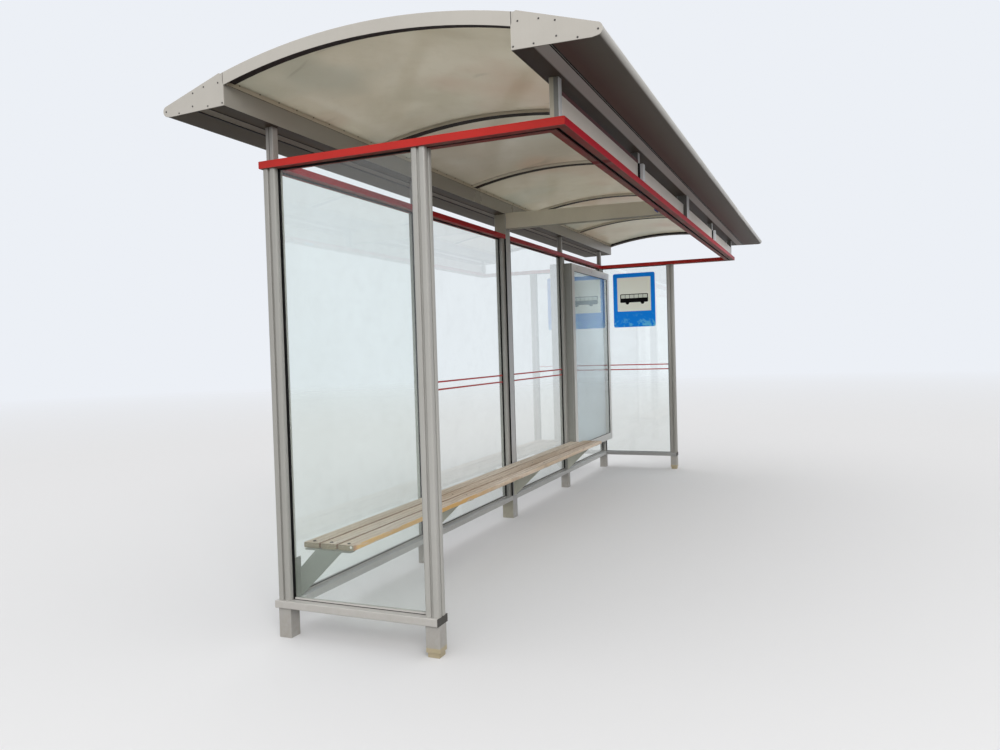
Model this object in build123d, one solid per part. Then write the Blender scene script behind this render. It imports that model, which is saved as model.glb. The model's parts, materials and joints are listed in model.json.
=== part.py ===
"""Glazed street shelter with a bench, a poster case and a cantilevered arched roof.

Millimetres. +Z is up and the floor is z = 0. X runs along the shelter, the glazed rear
wall is on the +Y side and the open street side on the -Y side. The origin is under the
middle of the roof. Lengths along the wall are symmetric about x = 0.
"""

import math
import os

from build123d import *

os.makedirs("parts", exist_ok=True)

# Plan: the wall, its bays and the ring that ties the post heads
bay_clear = 1400.0
post = 75.0
half_post = 44.0
column_width = 100.0
column_depth = 100.0
side_wall_depth = 855.0
ring_depth = 1528.0

# Levels
rail_underside = 154.0
glazed_height = 2201.0
roof_gap = 174.0

# Rails of the base and of the ring
rail_width = 100.0
rail_height = 38.0
rail_wall = 3.0
cap_thickness = 4.0
stub_width = 63.0
stub_height = 24.0

# Grooved post extrusion
slot_width = 12.6
slot_depth = 14.0
post_corner = 12.0
mouth_chamfer = 4.0
post_core = 30.0
lobe_core = 14.0
lobe_core_centre = 26.5

# Square tubes above the ring
tube = 44.0
tube_wall = 3.0
tube_corner = 4.0
centre_hanger_depth = 76.0

# Tapered beam from the centre column to the front edge
beam_width = 80.0
beam_over_ring = 49.0
beam_root_height = 133.0
beam_tip_height = 108.0
beam_wall = 4.0

# Roof: arc of the gable edge, eaves beams, ribs and sheets
roof_length = 6800.0
roof_panels = 5
arch_rise = 87.0
arch_edge = 150.0
plate_thickness = 5.0
plate_margin = 1.0
trim_height = 56.0
trim_face = 4.0
trim_flange = 45.0
sheet_drop = 20.0
sheet_thickness = 10.0
sheet_bite = 28.0
rib_width = 46.0
rib_depth = 17.0
seal_width = 16.0
seal_depth = 17.0
gable_seal_width = 56.0
gable_seal_depth = 15.0
cap_bar_width = 60.0
cap_bar_thickness = 4.0
sheet_joint = 4.0
groove_play = 1.5
rib_end_gap = 4.5
seal_end_gap = 6.0
cap_end_gap = 8.0

# Eaves beam, measured outward from its inner face and up from the soffit there
eaves_height = 149.0
eaves_flat = 24.0
eaves_lip = 4.0
lip_underside = 98.0
lip_top = 148.0
nose_reach = 367.0
nose_level = 24.0
nose_shoulder = 347.0
nose_top = 45.0
nose_heel = 349.0
nose_bottom = 3.0
soffit_run = 326.0
soffit_fall = 7.0
soffit_seam = 162.0
seam_width = 3.0
seam_depth = 2.0
eaves_wall = 4.0
eaves_web = 98.0
shelf_top = 106.0
shelf_end = 32.0

# Glass and its rubber channel
glass = 8.0
gasket_width = 12.0
gasket_sunk = 12.0
gasket_proud = 3.0
glass_in_gasket = 11.0

# Name band between the front hangers
band_height = 103.0
band_thickness = 6.0
band_gap = 2.0

# Poster case on the street face of the last rear bay
case_below_ring = 65.0
case_above_rail = 158.0
case_depth = 86.0
case_sheet = 3.0
door_depth = 22.0
door_side = 82.0
door_top = 76.0
case_lap_left = 27.0
case_lap_right = 6.0
poster_glass = 5.0
poster_glass_back = 8.0
poster_rebate = 12.0
poster_lap = 11.0
poster_backing = 4.0
backing_gap = 2.0
door_round = 4.0

# Sign plate on the far side pane
sign_width = 503.0
sign_height = 640.0
sign_thickness = 3.0
sign_centre_from_post = 384.0
sign_below_ring = 71.0
sign_corner = 22.0

# Bench
seat_top = 475.0
slat_width = 93.0
slat_thickness = 28.0
slat_gap = 13.0
slat_round = 4.0
slat_from_wall = 20.0
bench_end_gap = 70.0
bench_past_post = 110.0
bracket_thickness = 8.0
bracket_top_from = 104.0
bracket_top_to = 264.0
bracket_foot = 149.0
flange_width = 45.0
flange_thickness = 6.0
flange_short = 7.0
flange_from_wall = 21.0
slat_clear = 3.0
root_width = 50.0
root_height = 209.0
near_bracket_in = 53.0
near_root_in = 32.0
root_thickness = 6.0
root_above_rail = 2.0
bracket_clear = 1.0

# Clearance between pieces that would otherwise share a curved face
fit = 0.3

# Places that follow from the sizes above
rail_top = rail_underside + rail_height
ring_underside = rail_top + glazed_height
ring_top = ring_underside + rail_height
soffit = ring_top + roof_gap
beam_underside = ring_top + beam_over_ring
case_top = ring_underside - case_below_ring
case_bottom = rail_top + case_above_rail
sign_bottom = ring_underside - sign_below_ring - sign_height
wall_y = ring_depth / 2
front_y = -ring_depth / 2
side_front_y = wall_y - side_wall_depth
inner_y = ring_depth / 2 - rail_width / 2
centre_hanger_y = front_y - rail_width / 2 + centre_hanger_depth / 2
column_side = column_width / 2
inner_post_x = column_side + half_post + bay_clear + post / 2
corner_x = inner_post_x + post + bay_clear
rail_outer_x = corner_x + rail_width / 2
roof_end = roof_length / 2
arch_top = soffit + arch_edge + arch_rise
arch_radius = (inner_y**2 + arch_rise**2) / (2 * arch_rise)
arch_centre = arch_top - arch_radius
sheet_top_radius = arch_radius - sheet_drop
sheet_under_radius = sheet_top_radius - sheet_thickness
rib_pitch = roof_length / roof_panels
rib_places = [-roof_end + rib_pitch * n for n in range(1, roof_panels)]


def save(name, shape):
    """Writes one sub-part; several solids go in as one compound."""
    export_step(shape, f"parts/{name}.step")


def solids(shapes):
    """Solids of one sub-part that don't touch."""
    return Compound(children=list(shapes))


def block(x0, x1, y0, y1, z0, z1):
    """Plain box between two corners."""
    box = Box(x1 - x0, y1 - y0, z1 - z0, align=(Align.MIN, Align.MIN, Align.MIN))
    return Pos(x0, y0, z0) * box


def rounded(width, height, radius):
    """Rounded rectangle about the origin."""
    return RectangleRounded(width, height, radius)


def eaves_plane(side):
    """Section plane of one eaves beam: outward from its inner face, up from the soffit."""
    return Plane(origin=(0, side * inner_y, soffit), x_dir=(0, side, 0), z_dir=(side, 0, 0))


def soffit_at(u):
    """Height of the sloping soffit, outward from its inner edge."""
    return -soffit_fall * u / soffit_run


def above_soffit(side):
    """Space over the soffit, to trim what stands up to it."""
    run = soffit_run
    face = make_face(Polyline((0, 0), (run, soffit_at(run)), (run, run), (0, run), (0, 0)))
    return extrude(eaves_plane(side) * face, roof_end, both=True)


# Posts


def post_section(width=post, depth=post):
    """Square extrusion with a glazing slot in each face and a hollow core."""
    outline = Rectangle(width, depth)
    outline = fillet(outline.vertices(), post_corner)
    reach_x = width / 2 - slot_depth / 2
    reach_y = depth / 2 - slot_depth / 2
    for side in (-1, 1):
        outline -= Pos(side * reach_x, 0) * Rectangle(slot_depth, slot_width)
        outline -= Pos(0, side * reach_y) * Rectangle(slot_width, slot_depth)
    mouths = [
        v
        for v in outline.vertices()
        if abs(abs(v.X) - width / 2) < 0.01 and abs(abs(v.Y) - slot_width / 2) < 0.01
        or abs(abs(v.Y) - depth / 2) < 0.01 and abs(abs(v.X) - slot_width / 2) < 0.01
    ]
    outline = chamfer(mouths, mouth_chamfer)
    outline -= Rectangle(post_core, post_core)
    for sx in (-1, 1):
        for sy in (-1, 1):
            place = Pos(sx * lobe_core_centre, sy * lobe_core_centre)
            outline -= place * Rectangle(lobe_core, lobe_core)
    return outline


def grooved_post(x, y):
    """Post from the base rail up to the ring."""
    return extrude(Pos(x, y, rail_top) * post_section(), ring_underside - rail_top)


def half_post_section(side):
    """Jamb beside the centre column, with one slot that faces the glass."""
    outline = Rectangle(half_post, post)
    free = [v for v in outline.vertices() if v.X * side > 0]
    outline = fillet(free, post_corner)
    slot_x = side * (half_post / 2 - slot_depth / 2)
    outline -= Pos(slot_x, 0) * Rectangle(slot_depth, slot_width)
    mouths = [
        v
        for v in outline.vertices()
        if abs(v.X * side - half_post / 2) < 0.01 and abs(abs(v.Y) - slot_width / 2) < 0.01
    ]
    outline = chamfer(mouths, mouth_chamfer)
    for sy in (-1, 1):
        outline -= Pos(0, sy * lobe_core_centre * 0.8) * Rectangle(half_post / 2, lobe_core)
    return outline


def centre_jamb(side):
    """Half post on one side of the centre column."""
    x = side * (column_side + half_post / 2)
    face = Pos(x, wall_y, rail_top) * half_post_section(side)
    return extrude(face, ring_underside - rail_top)


def centre_column():
    """Plain square column that carries the tapered beam."""
    y = wall_y + rail_width / 2 - column_depth / 2
    outline = rounded(column_width, column_depth, tube_corner)
    outline -= Rectangle(column_width - 2 * beam_wall, column_depth - 2 * beam_wall)
    return extrude(Pos(0, y, 0) * outline, soffit) - above_soffit(1)


def foot(x, y, stub=0.0):
    """Square sleeve under the base rail, that stands on a narrower stub if it has one."""
    outline = rounded(post, post, tube_corner)
    outline -= Rectangle(post - 2 * rail_wall, post - 2 * rail_wall)
    sleeve = extrude(Pos(x, y, stub) * outline, rail_underside - stub)
    if stub:
        closing = rounded(post, post, tube_corner)
        sleeve += extrude(Pos(x, y, stub) * closing, cap_thickness)
        narrow = rounded(stub_width, stub_width, tube_corner)
        sleeve += extrude(Pos(x, y, 0) * narrow, stub)
    return sleeve


# Rails


def rail_section(slot_up):
    """Box rail seen along its length, with the glazing slot on one side."""
    outline = rounded(rail_width, rail_height, tube_corner)
    up = 1 if slot_up else -1
    outline -= Pos(0, up * (rail_height - slot_depth) / 2) * Rectangle(slot_width, slot_depth)
    chamber_width = (rail_width - slot_width) / 2 - 2 * rail_wall
    chamber_x = slot_width / 2 + rail_wall + chamber_width / 2
    for side in (-1, 1):
        chamber = Rectangle(chamber_width, rail_height - 2 * rail_wall)
        outline -= Pos(side * chamber_x, 0) * chamber
    return outline


def rail_x(x0, x1, y, z, slot_up):
    """Rail along X from x0 to x1."""
    plane = Plane(origin=(x0, y, z + rail_height / 2), x_dir=(0, 1, 0), z_dir=(1, 0, 0))
    return extrude(plane * rail_section(slot_up), x1 - x0)


def rail_y(x, y0, y1, z, slot_up):
    """Rail along Y from y0 to y1."""
    plane = Plane(origin=(x, y0, z + rail_height / 2), x_dir=(-1, 0, 0), z_dir=(0, 1, 0))
    return extrude(plane * rail_section(slot_up), y1 - y0)


def corner_wedge(x, y, z, side, rear, along_x):
    """Half of a 45 degree mitre, to cut from the rail along X or from the rail along Y."""
    reach = rail_width
    tip = (reach, -reach) if along_x else (-reach, reach)
    corners = [(x + side * u, y + rear * v) for u, v in ((-reach, -reach), (reach, reach), tip)]
    face = make_face(Polyline(*corners, corners[0]))
    return Pos(0, 0, z + rail_height / 2) * extrude(face, rail_height, both=True)


def base_side(side):
    """Side rail of the base, mitred at the rear and capped in front of the front post."""
    x = side * corner_x
    start = side_front_y - post / 2 + cap_thickness
    rail = rail_y(x, start, wall_y + rail_width / 2, rail_underside, True)
    return rail - corner_wedge(x, wall_y, rail_underside, side, 1, False)


def ring_side(side):
    """Side rail of the ring, mitred at both ends."""
    x = side * corner_x
    w = rail_width / 2
    rail = rail_y(x, front_y - w, wall_y + w, ring_underside, False)
    rail -= corner_wedge(x, wall_y, ring_underside, side, 1, False)
    return rail - corner_wedge(x, front_y, ring_underside, side, -1, False)


def ring_front():
    """Front rail of the ring, mitred at both ends."""
    rail = rail_x(-rail_outer_x, rail_outer_x, front_y, ring_underside, False)
    for side in (-1, 1):
        rail -= corner_wedge(side * corner_x, front_y, ring_underside, side, -1, True)
    return rail


def wall_rails(z, slot_up):
    """The two halves of a rear rail, from the mitred corners to the centre column."""
    near = rail_x(-rail_outer_x, -column_side, wall_y, z, slot_up)
    far = rail_x(column_side, rail_outer_x, wall_y, z, slot_up)
    return [
        near - corner_wedge(-corner_x, wall_y, z, -1, 1, True),
        far - corner_wedge(corner_x, wall_y, z, 1, 1, True),
    ]


def end_cap(x, y0, z):
    """Plate that closes the end of a rail that runs along Y."""
    return block(x - rail_width / 2, x + rail_width / 2, y0, y0 + cap_thickness, z, z + rail_height)


# Tubes between the ring and the roof


def short_tube(x, y, width, depth):
    """Tube from the top of the ring to the sloping soffit."""
    outline = rounded(width, depth, tube_corner)
    outline -= Rectangle(width - 2 * tube_wall, depth - 2 * tube_wall)
    tube_solid = extrude(Pos(x, y, ring_top) * outline, soffit - ring_top)
    return tube_solid - above_soffit(1 if y > 0 else -1)


def name_panel(x0, x1):
    """Plain panel between two hangers, flush with their street faces."""
    y0 = front_y - tube / 2
    return block(x0, x1, y0, y0 + band_thickness, ring_top, ring_top + band_height)


def cross_beam():
    """Tapered box beam from the centre column to the centre hanger."""
    root = wall_y + rail_width / 2 - column_depth
    tip = centre_hanger_y + centre_hanger_depth / 2

    def profile(inset):
        low = beam_underside + inset
        return Polyline(
            (tip, low),
            (root, low),
            (root, beam_underside + beam_root_height - inset),
            (tip, beam_underside + beam_tip_height - inset),
            (tip, low),
        )

    outer = Plane.YZ * make_face(profile(0))
    outer = Pos(-beam_width / 2, 0, 0) * extrude(outer, beam_width)
    inner = Plane.YZ * make_face(profile(beam_wall))
    inner = Pos(-beam_width / 2 + beam_wall, 0, 0) * extrude(inner, beam_width - 2 * beam_wall)
    return outer - inner


# Roof


def arc_band(low, high, half_chord, x0, x1):
    """Arched band between two radii, cut along the radii at half_chord from the middle."""
    angle = math.asin(half_chord / arch_radius)

    def at(radius, a):
        return (radius * math.sin(a), arch_centre + radius * math.cos(a))

    outline = [
        ThreePointArc(at(high, -angle), at(high, 0), at(high, angle)),
        Line(at(high, angle), at(low, angle)),
        ThreePointArc(at(low, angle), at(low, 0), at(low, -angle)),
        Line(at(low, -angle), at(high, -angle)),
    ]
    face = make_face(outline)
    return Pos(x0, 0, 0) * extrude(Plane.YZ * face, x1 - x0)


def eaves_top(u):
    """Height of the sloping top of the eaves beam."""
    slope = (eaves_height - nose_top) / (nose_shoulder - eaves_flat)
    return eaves_height - slope * (u - eaves_flat)


def nose(grow=0.0):
    """Rounded outer edge of the eaves, from its top to its underside."""
    return ThreePointArc(
        (nose_shoulder, nose_top + grow),
        (nose_reach + grow, nose_level),
        (nose_heel, -nose_bottom - grow),
    )


def eaves_beam(side):
    """Hollow eaves beam in two chambers, with a groove that takes the roof sheets."""
    top = [
        (0, 0),
        (0, lip_underside),
        (-eaves_lip, lip_underside),
        (-eaves_lip, lip_top),
        (eaves_flat, eaves_height),
        (nose_shoulder, nose_top),
    ]
    underside = [(nose_heel, -nose_bottom), (soffit_run, -soffit_fall), (0, 0)]
    section = make_face([Polyline(*top), nose(), Polyline(*underside)])

    wall = eaves_wall
    inner_chamber = [
        (wall, wall),
        (wall, shelf_top),
        (shelf_end, shelf_top),
        (shelf_end, eaves_top(shelf_end) - wall),
        (eaves_web - wall / 2, eaves_top(eaves_web) - wall),
        (eaves_web - wall / 2, wall),
    ]
    outer_chamber = [
        (eaves_web + wall / 2, soffit_at(eaves_web) + wall),
        (eaves_web + wall / 2, eaves_top(eaves_web) - 2 * wall),
        (nose_shoulder - wall, nose_top - wall),
        (nose_reach - 2 * wall, nose_level),
        (nose_heel - wall, -nose_bottom + wall),
        (soffit_run, -soffit_fall + wall),
    ]
    for chamber in (inner_chamber, outer_chamber):
        section -= make_face(Polyline(*chamber, chamber[0]))
    seam_z = soffit_at(soffit_seam)
    section -= Pos(soffit_seam, seam_z) * Rectangle(seam_width, 2 * seam_depth)

    length = roof_length - 2 * plate_thickness
    beam = extrude(eaves_plane(side) * section, length / 2, both=True)
    low = sheet_under_radius - fit
    high = sheet_top_radius + fit
    reach = inner_y + sheet_bite + groove_play
    return beam - arc_band(low, high, reach, -roof_end, roof_end)


trim_chord = inner_y * arch_radius / (arch_radius - trim_height)


def end_plate(side, end):
    """Flat plate that closes one end of an eaves beam, cut along the end of the gable trim."""
    angle = math.asin(trim_chord / arch_radius) + fit / arch_radius

    def beside_trim(radius):
        u = radius * math.sin(angle) - inner_y
        return (u, arch_centre + radius * math.cos(angle) - soffit)

    outline = [
        (0, 0),
        beside_trim(inner_y / math.sin(angle)),
        beside_trim(arch_radius),
        (eaves_flat, eaves_height + plate_margin),
        (nose_shoulder, nose_top + plate_margin),
    ]
    underside = [
        (nose_heel, -nose_bottom - plate_margin),
        (soffit_run, -soffit_fall - plate_margin),
        (0, 0),
    ]
    face = make_face([Polyline(*outline), nose(plate_margin), Polyline(*underside)])
    plate = extrude(eaves_plane(side) * face, plate_thickness / 2, both=True)
    return Pos(end * (roof_end - plate_thickness / 2), 0, 0) * plate


def gable_trim(end):
    """Arched edge trim with a flange that laps over the sheet."""
    face = arc_band(
        arch_radius - trim_height, arch_radius, trim_chord, roof_end - trim_face, roof_end
    )
    flange = arc_band(
        sheet_top_radius + fit,
        sheet_top_radius + fit + trim_face,
        inner_y - seal_end_gap,
        roof_end - trim_flange,
        roof_end - trim_face,
    )
    trim = face + flange
    return trim if end > 0 else mirror(trim, about=Plane.YZ)


def roof_sheet(n):
    """One arched opal sheet, its edges in the grooves of the eaves beams."""
    x0 = -roof_end + rib_pitch * n
    gap = sheet_joint / 2
    start = x0 + (plate_thickness + fit if n == 0 else gap)
    stop = x0 + rib_pitch - (plate_thickness + fit if n == roof_panels - 1 else gap)
    return arc_band(
        sheet_under_radius, sheet_top_radius, inner_y + sheet_bite, start, stop
    )


def roof_rib(x):
    """Arched glazing bar under a joint of two sheets."""
    top = sheet_under_radius - fit
    half = inner_y - rib_end_gap
    return arc_band(top - rib_depth, top, half, x - rib_width / 2, x + rib_width / 2)


def rib_seal(x):
    """Rubber strip along the far edge of a glazing bar."""
    top = sheet_under_radius - fit
    start = x + rib_width / 2
    half = inner_y - rib_end_gap
    return arc_band(top - seal_depth, top, half, start, start + seal_width)


def gable_seal(end):
    """Rubber packer between the gable trim and the sheet."""
    top = sheet_under_radius - fit
    seal = arc_band(
        top - gable_seal_depth,
        top,
        inner_y - seal_end_gap,
        roof_end - trim_face - gable_seal_width,
        roof_end - trim_face,
    )
    return seal if end > 0 else mirror(seal, about=Plane.YZ)


def cap_bar(x):
    """Cover strip over a joint of two sheets."""
    low = sheet_top_radius + fit
    half = cap_bar_width / 2
    reach = inner_y - cap_end_gap
    return arc_band(low, low + cap_bar_thickness, reach, x - half, x + half)


# Glass


def pane_x(x0, x1):
    """Rear pane and its rubber channel, between two slots at x0 and x1."""
    z0 = rail_top
    z1 = ring_underside
    sunk = gasket_sunk
    lap = glass_in_gasket
    half_g = gasket_width / 2
    half = glass / 2
    proud = gasket_proud
    pane = block(x0 - lap, x1 + lap, wall_y - half, wall_y + half, z0 - lap, z1 + lap)
    channel = block(
        x0 - sunk, x1 + sunk, wall_y - half_g, wall_y + half_g, z0 - sunk, z1 + sunk
    )
    channel -= block(
        x0 + proud, x1 - proud, wall_y - sunk, wall_y + sunk, z0 + proud, z1 - proud
    )
    return pane, channel - pane


def pane_y(x):
    """Side pane and its rubber channel, between the rear and the front post."""
    y0 = side_front_y + post / 2
    y1 = wall_y - post / 2
    z0 = rail_top
    z1 = ring_underside
    sunk = gasket_sunk
    lap = glass_in_gasket
    half_g = gasket_width / 2
    half = glass / 2
    proud = gasket_proud
    pane = block(x - half, x + half, y0 - lap, y1 + lap, z0 - lap, z1 + lap)
    channel = block(x - half_g, x + half_g, y0 - sunk, y1 + sunk, z0 - sunk, z1 + sunk)
    channel -= block(x - sunk, x + sunk, y0 + proud, y1 - proud, z0 + proud, z1 - proud)
    return pane, channel - pane


# Poster case

case_left = inner_post_x + post / 2 - case_lap_left
case_right = corner_x - post / 2 + case_lap_right
case_back = wall_y - post / 2
case_front = case_back - case_depth
door_back = case_front + door_depth


def case_body():
    """Tray of the poster case, open to the street side."""
    tray = block(case_left, case_right, door_back, case_back, case_bottom, case_top)
    hollow = block(
        case_left + case_sheet,
        case_right - case_sheet,
        door_back,
        case_back - case_sheet,
        case_bottom + case_sheet,
        case_top - case_sheet,
    )
    return tray - hollow


def case_door():
    """Frame that holds the poster glass."""
    frame = block(case_left, case_right, case_front, door_back, case_bottom, case_top)
    frame = fillet(frame.faces().sort_by(Axis.Y)[0].edges(), door_round)
    opening = block(
        case_left + door_side,
        case_right - door_side,
        case_front - door_depth,
        door_back + door_depth,
        case_bottom + door_top,
        case_top - door_top,
    )
    rebate = block(
        case_left + door_side - poster_rebate,
        case_right - door_side + poster_rebate,
        case_front + poster_glass_back,
        case_front + poster_glass_back + poster_glass,
        case_bottom + door_top - poster_rebate,
        case_top - door_top + poster_rebate,
    )
    return frame - opening - rebate


def case_glass():
    """Clear front of the poster case."""
    return block(
        case_left + door_side - poster_lap,
        case_right - door_side + poster_lap,
        case_front + poster_glass_back,
        case_front + poster_glass_back + poster_glass,
        case_bottom + door_top - poster_lap,
        case_top - door_top + poster_lap,
    )


def case_backing():
    """Pale board inside the poster case."""
    return block(
        case_left + case_sheet + backing_gap,
        case_right - case_sheet - backing_gap,
        case_back - case_sheet - poster_backing,
        case_back - case_sheet,
        case_bottom + case_sheet + backing_gap,
        case_top - case_sheet - backing_gap,
    )


def sign_plate():
    """Blank plate on the inner face of the far side pane."""
    y = wall_y - post / 2 - sign_centre_from_post
    z = sign_bottom + sign_height / 2
    x = corner_x - glass / 2 - sign_thickness
    place = Plane(origin=(x, y, z), x_dir=(0, 1, 0), z_dir=(1, 0, 0))
    return extrude(place * rounded(sign_width, sign_height, sign_corner), sign_thickness)


# Bench

bench_start = -corner_x + bench_end_gap
bench_stop = case_left + bench_past_post
slat_back = wall_y - post / 2 - slat_from_wall
slat_pitch = slat_width + slat_gap
seat_under = seat_top - slat_thickness
flange_under = seat_under - flange_thickness


def slat(row, stop):
    """Wooden slat with rounded long edges."""
    y = slat_back - slat_width / 2 - row * slat_pitch
    z = seat_top - slat_thickness / 2
    place = Plane(origin=(bench_start, y, z), x_dir=(0, 1, 0), z_dir=(1, 0, 0))
    return extrude(place * rounded(slat_width, slat_thickness, slat_round), stop - bench_start)


def bench_bracket(x, root_x, root_y):
    """Slanted plate with a top flange, on a root plate on the street face of a post."""
    near = x - bracket_thickness / 2
    foot_z = rail_top + root_above_rail
    back = root_y - root_thickness
    arm = make_face(
        Polyline(
            (back, foot_z),
            (root_y - bracket_top_to, flange_under),
            (root_y - bracket_top_from, flange_under),
            (back, foot_z + bracket_foot),
            (back, foot_z),
        )
    )
    plate = Pos(near, 0, 0) * extrude(Plane.YZ * arm, bracket_thickness)
    flange_front = slat_back - 2 * slat_pitch - slat_width + flange_short
    flange_back = slat_back - flange_from_wall
    flange = block(
        near, near + flange_width, flange_front, flange_back, flange_under, seat_under
    )
    half = root_width / 2
    root = block(root_x - half, root_x + half, back, root_y, foot_z, foot_z + root_height)
    return plate + flange + root


# Write the sub-parts

rear_posts = {1: -corner_x, 2: -inner_post_x, 4: inner_post_x, 5: corner_x}
for number, x in rear_posts.items():
    save(f"rear_post_{number}", grooved_post(x, wall_y))
save("front_post_near", grooved_post(-corner_x, side_front_y))
save("front_post_far", grooved_post(corner_x, side_front_y))
save("centre_column", centre_column())
save("centre_jambs", solids([centre_jamb(-1), centre_jamb(1)]))
save("rear_feet", solids([foot(x, wall_y) for x in rear_posts.values()]))
front_feet = [foot(s * corner_x, side_front_y, stub_height) for s in (-1, 1)]
save("front_feet", solids(front_feet))

for name, side in (("near", -1), ("far", 1)):
    save(f"base_rail_{name}", base_side(side))
    save(f"ring_{name}", ring_side(side))
save("base_rail_rear", solids(wall_rails(rail_underside, True)))
save("ring_rear", solids(wall_rails(ring_underside, False)))
save("ring_front", ring_front())
cap_y = side_front_y - post / 2
save("base_rail_caps", solids([end_cap(s * corner_x, cap_y, rail_underside) for s in (-1, 1)]))

stations = list(rear_posts.values())
hanger_places = [x - (post - tube) / 2 for x in stations]
save("rear_upper_posts", solids([short_tube(x, wall_y, tube, tube) for x in stations]))
save("front_hangers", solids([short_tube(x, front_y, tube, tube) for x in hanger_places]))
save("centre_hanger", short_tube(0, centre_hanger_y, column_width, centre_hanger_depth))
save("cross_beam", cross_beam())

save("rear_eaves_beam", eaves_beam(1))
save("front_eaves_beam", eaves_beam(-1))
for name, end in (("near", -1), ("far", 1)):
    save(f"eaves_end_plates_{name}", solids([end_plate(1, end), end_plate(-1, end)]))
    save(f"gable_trim_{name}", gable_trim(end))
save("roof_sheets", solids([roof_sheet(n) for n in range(roof_panels)]))
save("roof_ribs", solids([roof_rib(x) for x in rib_places]))
save("roof_seals", solids([rib_seal(x) for x in rib_places] + [gable_seal(-1), gable_seal(1)]))
save("roof_cap_bars", solids([cap_bar(x) for x in rib_places]))

near_side = [(x, tube / 2) for x in hanger_places[:2]] + [(0.0, column_side)]
far_side = [(0.0, column_side)] + [(x, tube / 2) for x in hanger_places[2:]]
panels = []
for row in (near_side, far_side):
    for (a, half_a), (b, half_b) in zip(row, row[1:]):
        panels.append(name_panel(a + half_a + band_gap, b - half_b - band_gap))
save("name_band", solids(panels))

half = post / 2
jamb_face = column_side + half_post
bays = [
    (-corner_x + half, -inner_post_x - half),
    (-inner_post_x + half, -jamb_face),
    (jamb_face, inner_post_x - half),
    (inner_post_x + half, corner_x - half),
]
rear_glass = []
channels = []
for x0, x1 in bays:
    pane, channel = pane_x(x0, x1)
    rear_glass.append(pane)
    channels.append(channel)
save("rear_glass", solids(rear_glass))
for name, side in (("near", -1), ("far", 1)):
    pane, channel = pane_y(side * corner_x)
    save(f"side_glass_{name}", pane)
    channels.append(channel)
save("glazing_channels", solids(channels))

save("poster_case_body", case_body())
save("poster_case_door", case_door())
save("poster_case_glass", case_glass())
save("poster_case_backing", case_backing())
save("sign_plate", sign_plate())

save("bench_slat_rear", slat(0, case_left - slat_clear))
save("bench_slat_middle", slat(1, bench_stop))
save("bench_slat_front", slat(2, bench_stop))
post_face = wall_y - post / 2
column_face = wall_y + rail_width / 2 - column_depth
last_x = case_left - bracket_clear - flange_width + bracket_thickness / 2
last_root_x = case_left - bracket_clear - root_width / 2
brackets = [
    bench_bracket(-corner_x + near_bracket_in, -corner_x + near_root_in, post_face),
    bench_bracket(-inner_post_x, -inner_post_x, post_face),
    bench_bracket(0, 0, column_face),
    bench_bracket(last_x, last_root_x, post_face),
]
save("bench_brackets", solids(brackets))
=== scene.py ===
import json
import math

import bmesh
import bpy
from mathutils import Matrix, Vector


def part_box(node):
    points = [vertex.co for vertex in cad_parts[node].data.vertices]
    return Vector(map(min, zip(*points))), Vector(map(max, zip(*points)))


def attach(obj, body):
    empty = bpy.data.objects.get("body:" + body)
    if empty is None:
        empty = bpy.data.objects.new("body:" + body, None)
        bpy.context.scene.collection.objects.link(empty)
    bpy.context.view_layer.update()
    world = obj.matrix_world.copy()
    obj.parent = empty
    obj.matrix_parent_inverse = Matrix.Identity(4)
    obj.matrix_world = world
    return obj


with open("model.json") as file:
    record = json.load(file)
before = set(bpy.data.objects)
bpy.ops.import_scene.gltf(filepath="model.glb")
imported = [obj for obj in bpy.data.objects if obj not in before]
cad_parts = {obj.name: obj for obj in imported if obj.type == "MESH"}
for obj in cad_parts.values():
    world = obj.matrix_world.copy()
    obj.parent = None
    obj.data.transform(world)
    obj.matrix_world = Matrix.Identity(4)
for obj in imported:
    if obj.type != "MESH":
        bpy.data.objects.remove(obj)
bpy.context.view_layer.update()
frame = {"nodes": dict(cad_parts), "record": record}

MM = 0.001
NEAR = -1
FAR = 1
REAR = 1
FRONT = -1


def lo_hi(node):
    """Lowest and highest corner of a CAD node."""
    low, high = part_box(node)
    return Vector(low), Vector(high)


# Places read from the frame

ring_low, ring_high = lo_hi("ring_front")
ring_under = ring_low.z
ring_top = ring_high.z
front_rail_y = (ring_low.y + ring_high.y) / 2
end_x = -lo_hi("eaves_end_plates_near")[0].x
post_low, post_high = lo_hi("rear_post_1")
wall_y = (post_low.y + post_high.y) / 2
post_size = post_high.x - post_low.x
half_post = post_size / 2
REAR_POSTS = {f"rear_post_{n}": n for n in (1, 2, 4, 5)}
post_x = {n: sum(v.x for v in lo_hi(node)) / 2 for node, n in REAR_POSTS.items()}
front_post_y = sum(v.y for v in lo_hi("front_post_near")) / 2
rail_top = post_low.z
column_low, column_high = lo_hi("centre_column")
jamb_face = lo_hi("centre_jambs")[1].x
soffit_inner = column_high.z
eaves_inner_y = column_low.y
hanger_low, hanger_high = lo_hi("front_hangers")
tube_size = hanger_high.y - hanger_low.y
glass_low, glass_high = lo_hi("rear_glass")
case_low, case_high = lo_hi("poster_case_door")
pane_low, pane_high = lo_hi("poster_case_glass")
sign_low, sign_high = lo_hi("sign_plate")
slats = [lo_hi(f"bench_slat_{place_name}") for place_name in ("front", "middle", "rear")]
slat_low, slat_high = slats[0]
bracket_top = lo_hi("bench_brackets")[1].z
band_low, band_high = lo_hi("name_band")
cap_low, cap_high = lo_hi("base_rail_caps")


# Node helpers


def place(tree, kind, inputs=None, **settings):
    """Adds a node; an input is a plain value or another node's output socket."""
    made = tree.nodes.new(kind)
    for key, value in settings.items():
        setattr(made, key, value)
    for key, value in (inputs or {}).items():
        if isinstance(value, bpy.types.NodeSocket):
            tree.links.new(value, made.inputs[key])
        else:
            made.inputs[key].default_value = value
    return made


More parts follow.
